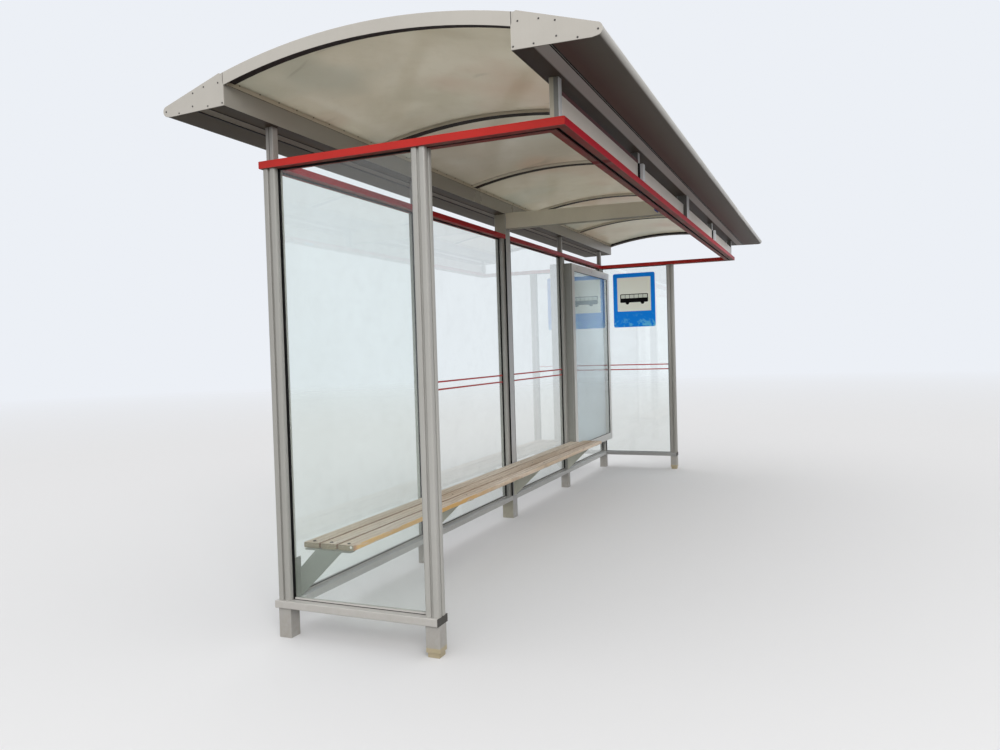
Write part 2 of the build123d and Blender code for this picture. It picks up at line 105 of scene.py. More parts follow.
def maths(tree, operation, a, b=0.0, clamp=False):
    """Output of a Math node."""
    return place(tree, "ShaderNodeMath", {0: a, 1: b}, operation=operation, use_clamp=clamp).outputs[0]


def times(tree, a, b):
    """Product of two values or masks."""
    return maths(tree, "MULTIPLY", a, b)


def remap(tree, value, low, high, to_low=0.0, to_high=1.0):
    """Output of a clamped Map Range node."""
    values = {"Value": value, 1: low, 2: high, 3: to_low, 4: to_high}
    return place(tree, "ShaderNodeMapRange", values).outputs[0]


def band(tree, value, start, full, fading, gone):
    """Mask of the values from start to gone."""
    return times(tree, remap(tree, value, start, full), remap(tree, value, gone, fading))


def from_line(tree, value, line):
    """Distance of a coordinate from a line."""
    return maths(tree, "ABSOLUTE", maths(tree, "SUBTRACT", value, line))


def blend(tree, factor, first, second):
    """Colour output of a Mix node."""
    return place(tree, "ShaderNodeMix", {0: factor, 6: first, 7: second}, data_type="RGBA").outputs[2]


def layered(tree, base, *layers):
    """Colour with further ones over it, each given with its mask."""
    for mask, colour in layers:
        base = blend(tree, mask, base, colour)
    return base


def rgb(red, green, blue):
    """Linear colour with full alpha."""
    return (red, green, blue, 1.0)


def scaled(colour, share):
    """Colour made darker or lighter."""
    return tuple(c * share for c in colour[:3]) + (1.0,)


def shader_group(name, inputs, outputs):
    """Empty shader node group with named float inputs and outputs."""
    group = bpy.data.node_groups.new(name, "ShaderNodeTree")
    for label, value in inputs.items():
        socket = group.interface.new_socket(label, in_out="INPUT", socket_type="NodeSocketFloat")
        socket.default_value = value
    for label in outputs:
        group.interface.new_socket(label, in_out="OUTPUT", socket_type="NodeSocketFloat")
    source = group.nodes.new("NodeGroupInput")
    sink = group.nodes.new("NodeGroupOutput")
    return group, source.outputs, sink


def object_space(tree, scale=(1.0, 1.0, 1.0)):
    """Object coordinates, stretched."""
    values = {"Vector": place(tree, "ShaderNodeTexCoord").outputs["Object"], "Scale": scale}
    return place(tree, "ShaderNodeMapping", values).outputs[0]


def split(tree, vector):
    """X, Y and Z of a vector."""
    return tuple(place(tree, "ShaderNodeSeparateXYZ", {0: vector}).outputs)


def axes(tree):
    """X, Y and Z of the Object coordinates."""
    return split(tree, object_space(tree))


def facing(tree):
    """X, Y and Z of the way that a face looks."""
    return split(tree, place(tree, "ShaderNodeTexCoord").outputs["Normal"])


def facing_along(tree):
    """Mask of the faces that look along the shelter."""
    return remap(tree, maths(tree, "ABSOLUTE", facing(tree)[0]), 0.75, 0.92)


def noise(tree, vector, scale, detail=3.0, roughness=0.5):
    """Value of a Noise Texture."""
    values = {"Vector": vector, "Scale": scale, "Detail": detail, "Roughness": roughness}
    return place(tree, "ShaderNodeTexNoise", values).outputs[0]


def moved_by(tree, vector, way, amount):
    """Vector pushed along a way by an amount."""
    push = place(tree, "ShaderNodeVectorMath", {0: way, "Scale": amount}, operation="SCALE")
    return place(tree, "ShaderNodeVectorMath", {0: vector, 1: push.outputs[0]}, operation="ADD").outputs[0]


# Shader groups shared by several finishes


def street_weather():
    """Dust in clouds, rain streaks, splash near the ground and the fine skin of paint."""
    group, given, sink = shader_group(
        "street_weather",
        {"Dust": 0.3, "Streaks": 0.3, "Splash": 0.3, "Splash Height": 0.3},
        ("Dirt", "Cloud", "Skin"),
    )
    space = object_space(group)
    cloud = noise(group, space, 2.6, 6.0, 0.62)
    dust = times(group, remap(group, cloud, 0.46, 0.72), given["Dust"])
    fall = noise(group, object_space(group, (46.0, 46.0, 1.3)), 1.0, 4.0, 0.6)
    streak = times(group, remap(group, fall, 0.52, 0.74), given["Streaks"])
    low = remap(group, split(group, space)[2], 0.0, given["Splash Height"], 1.0, 0.0)
    spots = noise(group, space, 34.0, 5.0, 0.7)
    splash = times(group, times(group, low, remap(group, spots, 0.38, 0.62)), given["Splash"])
    both = maths(group, "ADD", dust, streak)
    group.links.new(maths(group, "ADD", both, splash, clamp=True), sink.inputs["Dirt"])
    group.links.new(cloud, sink.inputs["Cloud"])
    group.links.new(noise(group, space, 420.0, 2.0), sink.inputs["Skin"])
    return group


def wiped_smears():
    """Large blotches and wiped arcs of a sheet or a pane."""
    group, given, sink = shader_group("wiped_smears", {"Blotch Scale": 1.4}, ("Blotch", "Arc", "Grime"))
    space = object_space(group)
    bent = moved_by(group, space, (0.9, 0.7, 0.2), noise(group, space, 1.1, 2.0))
    blotch = noise(group, bent, given["Blotch Scale"], 5.0, 0.6)
    rings = place(
        group,
        "ShaderNodeTexWave",
        {"Vector": bent, "Scale": 0.9, "Distortion": 2.4, "Detail": 1.0, "Detail Scale": 0.8},
        wave_type="RINGS",
        rings_direction="SPHERICAL",
    ).outputs["Fac"]
    wiped = remap(group, rings, 0.994, 0.999)
    broken = remap(group, noise(group, space, 2.3, 2.0), 0.52, 0.62)
    grime_and_shade = remap(group, noise(group, space, 11.0, 6.0, 0.7), 0.5, 0.75)
    group.links.new(blotch, sink.inputs["Blotch"])
    group.links.new(times(group, wiped, broken), sink.inputs["Arc"])
    group.links.new(grime_and_shade, sink.inputs["Grime"])
    return group


def slat_grain():
    """Growth lines, fibres and pores of a board whose length runs along X."""
    group, given, sink = shader_group("slat_grain", {"Shift": 0.0}, ("Lines", "Fibre", "Pores", "Patch"))
    moved = moved_by(group, object_space(group, (0.55, 1.0, 1.0)), (1.0, 1.0, 0.0), given["Shift"])
    bent = moved_by(group, moved, (0.0, 0.09, 0.09), noise(group, moved, 1.6, 3.0))
    lines = place(
        group,
        "ShaderNodeTexWave",
        {"Vector": bent, "Scale": 9.0, "Distortion": 5.0, "Detail": 3.0, "Detail Scale": 1.2},
        wave_type="BANDS",
        bands_direction="Y",
    ).outputs["Fac"]
    fibre = noise(group, object_space(group, (5.0, 240.0, 240.0)), 1.0, 4.0, 0.6)
    pores = noise(group, object_space(group, (24.0, 620.0, 620.0)), 1.0, 2.0)
    patch = noise(group, object_space(group, (0.9, 7.0, 7.0)), 1.0, 4.0, 0.6)
    for label, value in (("Lines", lines), ("Fibre", fibre), ("Pores", pores), ("Patch", patch)):
        group.links.new(value, sink.inputs[label])
    return group


weather_group = street_weather()
smear_group = wiped_smears()
grain_group = slat_grain()


def use_group(tree, group, values):
    """Outputs of a shader group placed in a material."""
    return place(tree, "ShaderNodeGroup", values, node_tree=group).outputs


def weathering(tree, dust, streaks, splash=0.0, splash_height=0.1):
    """Street weather at the strengths given."""
    values = {"Dust": dust, "Streaks": streaks, "Splash": splash, "Splash Height": splash_height}
    return use_group(tree, weather_group, values)


# Materials

DUST = rgb(0.34, 0.31, 0.265)
POST_GREY = rgb(0.44, 0.44, 0.42)
RAIL_GREY = rgb(0.525, 0.515, 0.495)
ROOF_PAINT = rgb(0.53, 0.51, 0.47)
PAINT_WEAR = 0.94


def new_material(name, inputs=None):
    """Material, its node tree and its Principled BSDF with the plain inputs given."""
    material = bpy.data.materials.new(name)
    material.use_nodes = True
    tree = material.node_tree
    tree.nodes.clear()
    shader = place(tree, "ShaderNodeBsdfPrincipled", inputs)
    place(tree, "ShaderNodeOutputMaterial", {0: shader.outputs[0]})
    return material, tree, shader


def to_output(tree, surface):
    """Connects a shader to the material's output."""
    output = next(n for n in tree.nodes if n.type == "OUTPUT_MATERIAL")
    tree.links.new(surface.outputs[0], output.inputs[0])


def mix_shaders(tree, factor, first, second):
    """Mix Shader node of two shaders."""
    return place(tree, "ShaderNodeMixShader", {0: factor, 1: first.outputs[0], 2: second.outputs[0]})


def set_bump(tree, shader, height, strength, distance):
    """Bump from a height socket."""
    values = {"Height": height, "Strength": strength, "Distance": distance}
    tree.links.new(place(tree, "ShaderNodeBump", values).outputs[0], shader.inputs["Normal"])


def dull_shaded_underside(tree, shader, colour):
    """Mixes in a coat for the faces that look at the road, dull with grime and darker as painted shade."""
    down = remap(tree, facing(tree)[2], -0.75, -0.92)
    values = {"Base Color": colour, "Specular IOR Level": 0.04, "Roughness": 0.5}
    grime_and_shade = place(tree, "ShaderNodeBsdfPrincipled", values)
    to_output(tree, mix_shaders(tree, down, shader, grime_and_shade))


def cloudy(tree, out):
    """Soft clouds that mottle a coat."""
    return remap(tree, out["Cloud"], 0.3, 0.7)


def mottled(tree, out, colour, wear):
    """Colour with darker clouds, at the share given."""
    return blend(tree, cloudy(tree, out), colour, scaled(colour, wear))


def lay_coat(tree, shader, out, colour, roughness, bump=0.12, depth=0.0004):
    """Connects a colour, a roughness and the fine skin of the coat to its shader."""
    tree.links.new(colour, shader.inputs["Base Color"])
    tree.links.new(roughness, shader.inputs["Roughness"])
    set_bump(tree, shader, out["Skin"], bump, depth)


def dusty_coat(tree, shader, out, coat, rough):
    """Lays dust over a coat, duller where it lies."""
    skin = blend(tree, out["Dirt"], coat, DUST)
    lay_coat(tree, shader, out, skin, remap(tree, out["Dirt"], 0.0, 0.8, *rough))


def painted_metal(name, colour, weather, rough, under=0.75, flank_light_and_shade=None, sand=False, dirt_colour=DUST):
    """Powder coat with dust, streaks and splash; its undersides are dull with road grime and darker
    as painted shade.

    Weather holds dust, streaks, splash and splash height, and under the undersides' share of
    the colour, their painted shade. A flank colour of painted light and shade goes on the faces
    that look along the shelter, and sand on the stubs under the feet.
    """
    material, tree, shader = new_material(name)
    out = weathering(tree, *weather)
    worn = mottled(tree, out, colour, PAINT_WEAR)
    # faces that look along the shelter take the flank colour, painted light and shade
    if flank_light_and_shade:
        worn = blend(tree, facing_along(tree), worn, flank_light_and_shade)
    skin = blend(tree, out["Dirt"], worn, dirt_colour)
    if sand:
        low = remap(tree, axes(tree)[2], 50 * MM, 44 * MM)
        skin = blend(tree, times(tree, low, 0.75), skin, rgb(0.46, 0.38, 0.22))
    lay_coat(tree, shader, out, skin, remap(tree, out["Dirt"], 0.0, 0.8, *rough))
    # undersides: a darker share of the colour as painted shade, mixed with dirt
    shade = blend(tree, cloudy(tree, out), scaled(colour, under), scaled(dirt_colour, 0.8))
    dull_shaded_underside(tree, shader, shade)
    return material


# Bands of the soffit, outward from the beam's inner face: start, full, fading and gone. The strip is a
# painted reflection.
SOFFIT_REFLECTION_STRIP = (88 * MM, 98 * MM, 158 * MM, 161 * MM)
SOFFIT_SEAM = (153 * MM, 154 * MM, 169 * MM, 170 * MM)
STREET_REFLECTION_STRIP = rgb(0.54, 0.515, 0.505)
REAR_REFLECTION_STRIP = rgb(0.27, 0.245, 0.20)
# Tones of the soffit in the same measure, painted shade and painted light: where each sets in and where it is
# full
HEEL = (70 * MM, 5 * MM)
MAROON = (160 * MM, 165 * MM)
LIT_NOSE_SIDE = (210 * MM, 330 * MM)
SHADED_CORNER = (100 * MM, 90 * MM)
LIP_EDGE = (96 * MM, 99 * MM)


def eaves_paint():
    """Eaves beam: pale outside, inner face painted darker as shade, cream lip, soffit of grime and painted
    shade with a paler strip of painted reflection.
    """
    material, tree, shader = new_material("eaves_paint")
    out = weathering(tree, 0.12, 0.1)
    x, y, z = axes(tree)
    outward = maths(tree, "SUBTRACT", maths(tree, "ABSOLUTE", y), eaves_inner_y)
    up = maths(tree, "SUBTRACT", z, soffit_inner)
    inner = remap(tree, outward, 3 * MM, 1 * MM)
    lip = times(tree, inner, remap(tree, up, *LIP_EDGE))
    skin = layered(
        tree,
        ROOF_PAINT,
        # inner face: darker copy of the roof paint as painted shade
        (inner, rgb(0.355, 0.342, 0.31)),
        (lip, rgb(0.60, 0.55, 0.44)),
        (out["Dirt"], DUST),
    )
    lay_coat(tree, shader, out, skin, remap(tree, out["Cloud"], 0.3, 0.7, 0.26, 0.4), 0.1)
    rear = remap(tree, y, -0.1, 0.1)
    street = maths(tree, "SUBTRACT", 1.0, rear)
    # soffit: grime with painted shade, lighter towards the nose as painted light, darker in the inner corner
    # and at the near end of the rear as painted shade
    grime_and_shade = blend(tree, cloudy(tree, out), rgb(0.135, 0.108, 0.072), rgb(0.10, 0.082, 0.054))
    maroon = times(tree, remap(tree, outward, *MAROON), street)
    lit_nose_side = times(tree, remap(tree, outward, *LIT_NOSE_SIDE), remap(tree, rear, 0.0, 1.0, 0.85, 0.3))
    shaded_corner = times(tree, remap(tree, outward, *SHADED_CORNER), remap(tree, rear, 0.0, 1.0, 0.75, 0.0))
    soffit = layered(
        tree,
        grime_and_shade,
        (remap(tree, outward, *HEEL), rgb(0.095, 0.085, 0.07)),
        (maroon, rgb(0.125, 0.078, 0.068)),
        (lit_nose_side, rgb(0.19, 0.18, 0.158)),
        (shaded_corner, rgb(0.062, 0.05, 0.047)),
        # painted shade on the rear soffit towards the near end
        (times(tree, rear, remap(tree, x, -2.4, -3.1, 0.1, 0.5)), rgb(0.035, 0.024, 0.012)),
        # paler strip: painted reflection
        (band(tree, outward, *SOFFIT_REFLECTION_STRIP), blend(tree, rear, STREET_REFLECTION_STRIP, REAR_REFLECTION_STRIP)),
        (band(tree, outward, *SOFFIT_SEAM), rgb(0.006, 0.005, 0.005)),
    )
    dull_shaded_underside(tree, shader, soffit)
    return material


SLOT_HALF = 6.3 * MM
RING_JOINT_X = -2319 * MM
SLOT_GASKET_AND_SHADE = rgb(0.006, 0.004, 0.004)
SLOT_SHADE = rgb(0.004, 0.003, 0.003)


def ring_paint(name, red, gloss, across, *middles):
    """Red coat with a painted highlight along its lower edge, maroon below as painted shade and painted
    reflection, and black in the open slot as gasket and painted shade, which runs along the middles given.
    """
    material, tree, shader = new_material(name, {"Specular IOR Level": gloss})
    out = weathering(tree, 0.07, 0.05)
    parts = axes(tree)
    # painted highlight, pale pink, along the lower edge of the red faces
    edge = remap(tree, parts[2], ring_under + 2.6 * MM, ring_under + 1.6 * MM)
    aside = from_line(tree, parts[across], middles[0])
    for middle in middles[1:]:
        aside = maths(tree, "MINIMUM", aside, from_line(tree, parts[across], middle))
    # open slot painted black: partly gasket, partly painted shade
    within = remap(tree, aside, SLOT_HALF + 2.0 * MM, SLOT_HALF + 1.2 * MM)
    raised = remap(tree, parts[2], ring_under + 0.4 * MM, ring_under + 1.2 * MM)
    coat = layered(
        tree,
        mottled(tree, out, red, 0.84),
        (out["Dirt"], rgb(0.45, 0.06, 0.05)),
        (times(tree, edge, 0.45), rgb(0.70, 0.16, 0.17)),
        (times(tree, within, raised), SLOT_GASKET_AND_SHADE),
    )
    lay_coat(tree, shader, out, coat, remap(tree, out["Dirt"], 0.0, 0.5, 0.3, 0.5))
    # undersides maroon and brown as painted shade and painted reflection; darker beside the slot as painted
    # shade
    patchy = remap(tree, out["Cloud"], 0.44, 0.58)
    maroon = blend(tree, patchy, rgb(0.33, 0.06, 0.055), rgb(0.25, 0.11, 0.085))
    joint = remap(tree, from_line(tree, parts[0], RING_JOINT_X), 36 * MM, 28 * MM)
    slotted = remap(tree, aside, SLOT_HALF + 5.0 * MM, SLOT_HALF + 4.0 * MM)
    below = layered(tree, maroon, (joint, rgb(0.22, 0.022, 0.02)), (slotted, SLOT_SHADE))
    dull_shaded_underside(tree, shader, below)
    return material


def trim_paint():
    """Pale gable trim with a thin dark joint beside each end plate."""
    material, tree, shader = new_material("gable_trim_paint")
    out = weathering(tree, 0.06, 0.06)
    worn = mottled(tree, out, ROOF_PAINT, 0.95)
    outward = maths(tree, "SUBTRACT", maths(tree, "ABSOLUTE", axes(tree)[1]), eaves_inner_y)
    joint = band(tree, outward, 0.2 * MM, 1.0 * MM, 3.4 * MM, 4.2 * MM)
    skin = layered(tree, worn, (out["Dirt"], DUST), (joint, rgb(0.07, 0.06, 0.055)))
    lay_coat(tree, shader, out, skin, remap(tree, out["Dirt"], 0.0, 0.8, 0.24, 0.45))
    dull_shaded_underside(tree, shader, rgb(0.05, 0.042, 0.036))
    return material


def rib_paint():
    """Roof ribs: the first a darker olive as painted shade, the others as pale as the sheets, all nearly
    black below.
    """
    material, tree, shader = new_material("rib_paint")
    out = weathering(tree, 0.15, 0.0)
    # the first rib a darker olive as painted shade
    first = remap(tree, axes(tree)[0], -1.0, -1.3)
    coat = blend(tree, first, rgb(0.80, 0.76, 0.65), rgb(0.55, 0.51, 0.41))
    dusty_coat(tree, shader, out, coat, (0.45, 0.6))
    dull_shaded_underside(tree, shader, rgb(0.03, 0.025, 0.022))
    return material


def bracket_paint():
    """Green-grey bench brackets, the near one painted darker as shade."""
    material, tree, shader = new_material("bracket_paint")
    out = weathering(tree, 0.1, 0.1, 0.3, 0.3)
    # the near bracket painted darker as shade
    near = remap(tree, axes(tree)[0], -2.0, -2.4)
    coat = blend(tree, near, rgb(0.66, 0.67, 0.59), rgb(0.17, 0.185, 0.16))
    dusty_coat(tree, shader, out, coat, (0.3, 0.6))
    return material


def hanger_paint():
    """Hangers: street faces painted bright as lit faces and flanks painted dark as shade, the near one half
    cream as painted light.
    """
    material, tree, shader = new_material("hanger_paint")
    out = weathering(tree, 0.05, 0.05)
    x, y, _ = axes(tree)
    # flanks: the near hanger's inner half cream as painted light, its outer half and the other hangers dark
    # as painted shade
    inner_half = remap(tree, y, front_rail_y - 1 * MM, front_rail_y + 3 * MM)
    near_flank = blend(tree, inner_half, rgb(0.20, 0.20, 0.185), rgb(0.45, 0.42, 0.33))
    near = remap(tree, x, post_x[1] + 0.3, post_x[1] + 0.1)
    flank_light_and_shade = blend(tree, near, rgb(0.11, 0.11, 0.105), near_flank)
    # street faces painted bright as lit faces
    coat = blend(tree, facing_along(tree), rgb(0.66, 0.68, 0.70), flank_light_and_shade)
    dusty_coat(tree, shader, out, coat, (0.35, 0.55))
    return material


def upper_post_paint():
    """Short grey posts over the rear ring, a darker grey as painted shade, with a thin dark line in the
    middle of each side painted as the shade of a groove.
    """
    material, tree, shader = new_material("upper_post_paint")
    out = weathering(tree, 0.08, 0.08)
    middle = remap(tree, from_line(tree, axes(tree)[1], wall_y), 3 * MM, 2 * MM)
    # thin dark line painted as the shade of a groove
    groove_shade = times(tree, middle, facing_along(tree))
    coat = blend(tree, groove_shade, rgb(0.36, 0.355, 0.345), rgb(0.10, 0.095, 0.09))
    dusty_coat(tree, shader, out, coat, (0.35, 0.55))
    return material


def rubber(name, weather, black, chalk, chalking, gloss):
    """Dull black rubber with grey chalking."""
    material, tree, shader = new_material(name, {"Specular IOR Level": gloss})
    out = weathering(tree, *weather)
    colour = blend(tree, times(tree, out["Dirt"], chalking), black, chalk)
    lay_coat(tree, shader, out, colour, remap(tree, out["Dirt"], 0.0, 1.0, 0.6, 0.85), 0.2, 0.0005)
    return material


def opal_sheet():
    """Cream opal sheet that glows with the sky above it, smudged and wiped in arcs, with a darker patch over
    the second bay as painted reflection.
    """
    material, tree, shader = new_material("opal_sheet", {"IOR": 1.5, "Specular IOR Level": 0.9})
    out = use_group(tree, smear_group, {"Blotch Scale": 1.5})
    along = axes(tree)[0]
    # darker patch over the second bay: painted reflection
    second = times(tree, remap(tree, along, -2.4, -1.6), remap(tree, along, 0.0, -1.0, 0.0, 0.36))
    haze = noise(tree, object_space(tree), 0.8, 3.0)
    cream = layered(
        tree,
        rgb(0.72, 0.685, 0.595),
        (remap(tree, out["Blotch"], 0.38, 0.66), rgb(0.645, 0.61, 0.515)),
        (times(tree, out["Grime"], 0.25), rgb(0.54, 0.49, 0.39)),
        (second, rgb(0.40, 0.36, 0.325)),
        (times(tree, remap(tree, haze, 0.53, 0.64), 0.5), rgb(0.62, 0.49, 0.40)),
        (times(tree, remap(tree, haze, 0.46, 0.38), 0.45), rgb(0.58, 0.60, 0.54)),
        (times(tree, out["Arc"], 0.5), rgb(0.42, 0.40, 0.34)),
    )
    tree.links.new(cream, shader.inputs["Base Color"])
    tree.links.new(remap(tree, out["Blotch"], 0.35, 0.7, 0.1, 0.24), shader.inputs["Roughness"])
    through = place(tree, "ShaderNodeBsdfTranslucent", {"Color": cream})
    to_output(tree, mix_shaders(tree, 0.7, shader, through))
    return material


def clear_pane():
    """Toughened glass with a thin film of dust; lamps shine through it."""
    tint = rgb(0.93, 0.965, 0.95)
    glass = {"Base Color": tint, "Transmission Weight": 1.0, "IOR": 1.5, "Roughness": 0.0}
    material, tree, shader = new_material("clear_pane", glass)
    out = use_group(tree, smear_group, {"Blotch Scale": 2.2})
    film = place(tree, "ShaderNodeBsdfDiffuse", {"Color": rgb(0.55, 0.56, 0.53)})
    smears = times(tree, remap(tree, out["Blotch"], 0.4, 0.75), 0.03)
    amount = maths(tree, "ADD", smears, times(tree, out["Grime"], 0.02))
    dusty = mix_shaders(tree, amount, shader, film)
    clear = place(tree, "ShaderNodeBsdfTransparent", {"Color": tint})
    shadow = place(tree, "ShaderNodeLightPath").outputs["Is Shadow Ray"]
    to_output(tree, mix_shaders(tree, shadow, dusty, clear))
    return material


def weathered_slat(name, shift, worn, silver, gap_facing=1.0, street_tone=0.0):
    """Softwood slat: warm wood, silvered where the rain reaches and lighter towards the far end as painted
    light, darker in the gaps as painted shade, with open grain.
    """
    material, tree, shader = new_material(name)
    out = use_group(tree, grain_group, {"Shift": shift})
    weather = weathering(tree, 0.5, 0.0)
    along = axes(tree)[0]
    # lighter towards the far end: painted light
    silver_and_painted_light = blend(tree, remap(tree, along, -2.6, -0.9), silver, scaled(silver, 1.34))
    speckle = remap(tree, noise(tree, object_space(tree, (1.0, 2.0, 2.0)), 60.0, 3.0, 0.7), 0.54, 0.66)
    side_x, side_y, _ = facing(tree)
    end_grain = remap(tree, maths(tree, "ABSOLUTE", side_x), 0.6, 0.8)
    ends = blend(tree, remap(tree, out["Fibre"], 0.4, 0.6), rgb(0.27, 0.235, 0.16), rgb(0.165, 0.125, 0.08))
    # gap sides darker, most in the near part: painted shade
    gap_side = remap(tree, times(tree, side_y, -gap_facing), 0.6, 0.8)
    gap_painted_shade = times(tree, gap_side, remap(tree, along, -2.0, -1.3, 1.0, 0.55))
    patches = remap(tree, noise(tree, object_space(tree, (1.0, 3.0, 5.0)), 9.0, 4.0, 0.6), 0.53, 0.64)
    ochre = blend(tree, patches, rgb(0.66, 0.40, 0.13), rgb(0.62, 0.47, 0.36))
    stain = remap(tree, along, slat_low.x + 34 * MM, slat_low.x + 16 * MM)
    ochre = blend(tree, times(tree, stain, 0.7), ochre, rgb(0.30, 0.13, 0.085))
    street = times(tree, remap(tree, side_y, -0.45, -0.7), remap(tree, along, -1.1, -1.6, 0.15, 1.0))
    wood = layered(
        tree,
        worn,
        (remap(tree, out["Patch"], 0.34, 0.6), silver_and_painted_light),
        (times(tree, speckle, 0.6), rgb(0.46, 0.31, 0.22)),
        (times(tree, remap(tree, out["Lines"], 0.6, 0.98), 0.42), rgb(0.30, 0.20, 0.13)),
        (times(tree, remap(tree, out["Fibre"], 0.52, 0.72), 0.42), rgb(0.32, 0.24, 0.18)),
        (times(tree, weather["Dirt"], 0.2), rgb(0.42, 0.38, 0.33)),
        (end_grain, ends),
        (gap_painted_shade, rgb(0.24, 0.155, 0.095)),
        (times(tree, street, street_tone), ochre),
    )
    tree.links.new(wood, shader.inputs["Base Color"])
    tree.links.new(remap(tree, out["Fibre"], 0.3, 0.7, 0.55, 0.85), shader.inputs["Roughness"])
    height = maths(tree, "ADD", out["Fibre"], times(tree, out["Lines"], 0.6))
    height = maths(tree, "ADD", height, times(tree, out["Pores"], 0.5))
    set_bump(tree, shader, height, 0.45, 0.0012)
    return material


def plain_finish(name, colour, rough, metallic=0.0, clouding=0.15, gloss=0.5):
    """Small parts and films: one colour, slightly mottled."""
    material, tree, shader = new_material(name, {"Metallic": metallic, "Specular IOR Level": gloss})
    out = weathering(tree, 0.4, 0.2, 0.2, 0.3)
    skin = blend(tree, times(tree, out["Cloud"], clouding * 2), colour, scaled(colour, 0.72))
    roughness = remap(tree, out["Cloud"], 0.3, 0.7, rough, rough + 0.15)
    lay_coat(tree, shader, out, skin, roughness, 0.1, 0.0003)
    return material


def faded_sign():
    """Blue sign film, bleached in clouds over its lower field."""
    material, tree, shader = new_material("faded_sign_blue", {"Roughness": 0.45, "Specular IOR Level": 0.2})
    out = use_group(tree, smear_group, {"Blotch Scale": 16.0})
    lower = remap(tree, axes(tree)[2], sign_low.z + 0.03, sign_low.z + 0.17, 1.0, 0.0)
    pale = times(tree, remap(tree, out["Blotch"], 0.52, 0.62), lower)
    blue = blend(tree, times(tree, pale, 0.75), rgb(0.0, 0.22, 0.80), rgb(0.16, 0.58, 0.80))
    tree.links.new(blue, shader.inputs["Base Color"])
    return material


# Dust, streaks, splash and splash height of what stands on or near the ground
POST_WEATHER = (0.05, 0.06, 0.6, 0.3)
RAIL_WEATHER = (0.08, 0.04, 0.6, 0.22)
FOOT_WEATHER = (0.1, 0.06, 0.6, 0.22)
FOOT_GREY = scaled(RAIL_GREY, 0.8)

finish = {
    "post_paint": painted_metal("satin_post_paint", POST_GREY, POST_WEATHER, (0.3, 0.5)),
    "rail_paint": painted_metal("satin_rail_paint", RAIL_GREY, RAIL_WEATHER, (0.32, 0.55)),
    "ring_red": ring_paint("red_ring_long", rgb(0.52, 0.003, 0.019), 0.02, 1, front_rail_y, wall_y),
    "roof_metal": painted_metal("pale_roof_paint", ROOF_PAINT, (0.06, 0.08, 0.0, 0.1), (0.24, 0.45)),
    "roof_sheet": opal_sheet(),
    "glass": clear_pane(),
    "rubber": rubber(
        "black_rubber", (0.5, 0.3, 0.6, 0.5), rgb(0.006, 0.006, 0.007), rgb(0.12, 0.115, 0.105), 0.12, 0.1
    ),
    "bracket_paint": bracket_paint(),
    # case flanks painted dark as shade
    "case_paint": painted_metal(
        "case_paint", rgb(0.66, 0.665, 0.66), (0.08, 0.1, 0.1, 0.6), (0.3, 0.55), flank_light_and_shade=rgb(0.275, 0.28, 0.26)
    ),
    "case_board": plain_finish("case_board", rgb(0.66, 0.75, 0.83), 0.6),
    "panel_white": painted_metal(
        "white_panel_enamel", rgb(0.80, 0.765, 0.705), (0.06, 0.03, 0.0, 0.1), (0.35, 0.5),
        dirt_colour=rgb(0.55, 0.52, 0.47),
    ),
    "sign_blue": faded_sign(),
    "cap_dark": plain_finish("dark_end_cap", rgb(0.07, 0.066, 0.06), 0.7, clouding=0.3),
}

# Finishes of single CAD nodes; the others have the finish of their material slot
node_finish = {}


def give(made, *nodes):
    """Gives CAD nodes a finish of their own."""
    node_finish.update(dict.fromkeys(nodes, made))


for slat_name, *look in (
    ("rear", 3.1, rgb(0.56, 0.46, 0.35), rgb(0.60, 0.54, 0.46)),
    ("middle", 7.7, rgb(0.60, 0.48, 0.36), rgb(0.63, 0.56, 0.48)),
    ("front", 12.4, rgb(0.60, 0.48, 0.36), rgb(0.65, 0.57, 0.49), -1.0, 0.95),
):
    give(weathered_slat(f"slat_{slat_name}_wood", *look), f"bench_slat_{slat_name}")
# The rear posts and jambs, the far post and the far rail take darker copies of the post and rail paint as
# painted shade, and the rear rail a lighter copy as painted light.
for name, colour, weather, rough, *nodes in (
    ("rear_post_paint", rgb(0.375, 0.375, 0.355), POST_WEATHER, (0.3, 0.5), *REAR_POSTS, "centre_jambs"),
    ("foot_paint", FOOT_GREY, FOOT_WEATHER, (0.35, 0.6), "rear_feet"),
    ("far_post_paint", rgb(0.33, 0.325, 0.305), (0.08, 0.08, 0.5, 0.3), (0.35, 0.6), "front_post_far"),
    ("rear_rail_paint", rgb(0.545, 0.555, 0.55), (0.08, 0.04, 0.5, 0.22), (0.32, 0.55), "base_rail_rear"),
    ("far_rail_paint", rgb(0.345, 0.35, 0.35), (0.1, 0.04, 0.4, 0.22), (0.35, 0.6), "base_rail_far"),
):
    give(painted_metal(name, colour, weather, rough), *nodes)
give(painted_metal("front_foot_paint", FOOT_GREY, FOOT_WEATHER, (0.35, 0.6), sand=True), "front_feet")
# column flanks in an olive tone of painted light and shade
column_paint = painted_metal(
    "column_paint", rgb(0.455, 0.465, 0.48), POST_WEATHER, (0.3, 0.5), flank_light_and_shade=rgb(0.42, 0.41, 0.33)
)
give(column_paint, "centre_column")
cream_paint = painted_metal(
    "cream_beam_paint", rgb(0.70, 0.665, 0.54), (0.1, 0.0, 0.0, 0.1), (0.35, 0.55), under=0.8
)
give(cream_paint, "cross_beam")
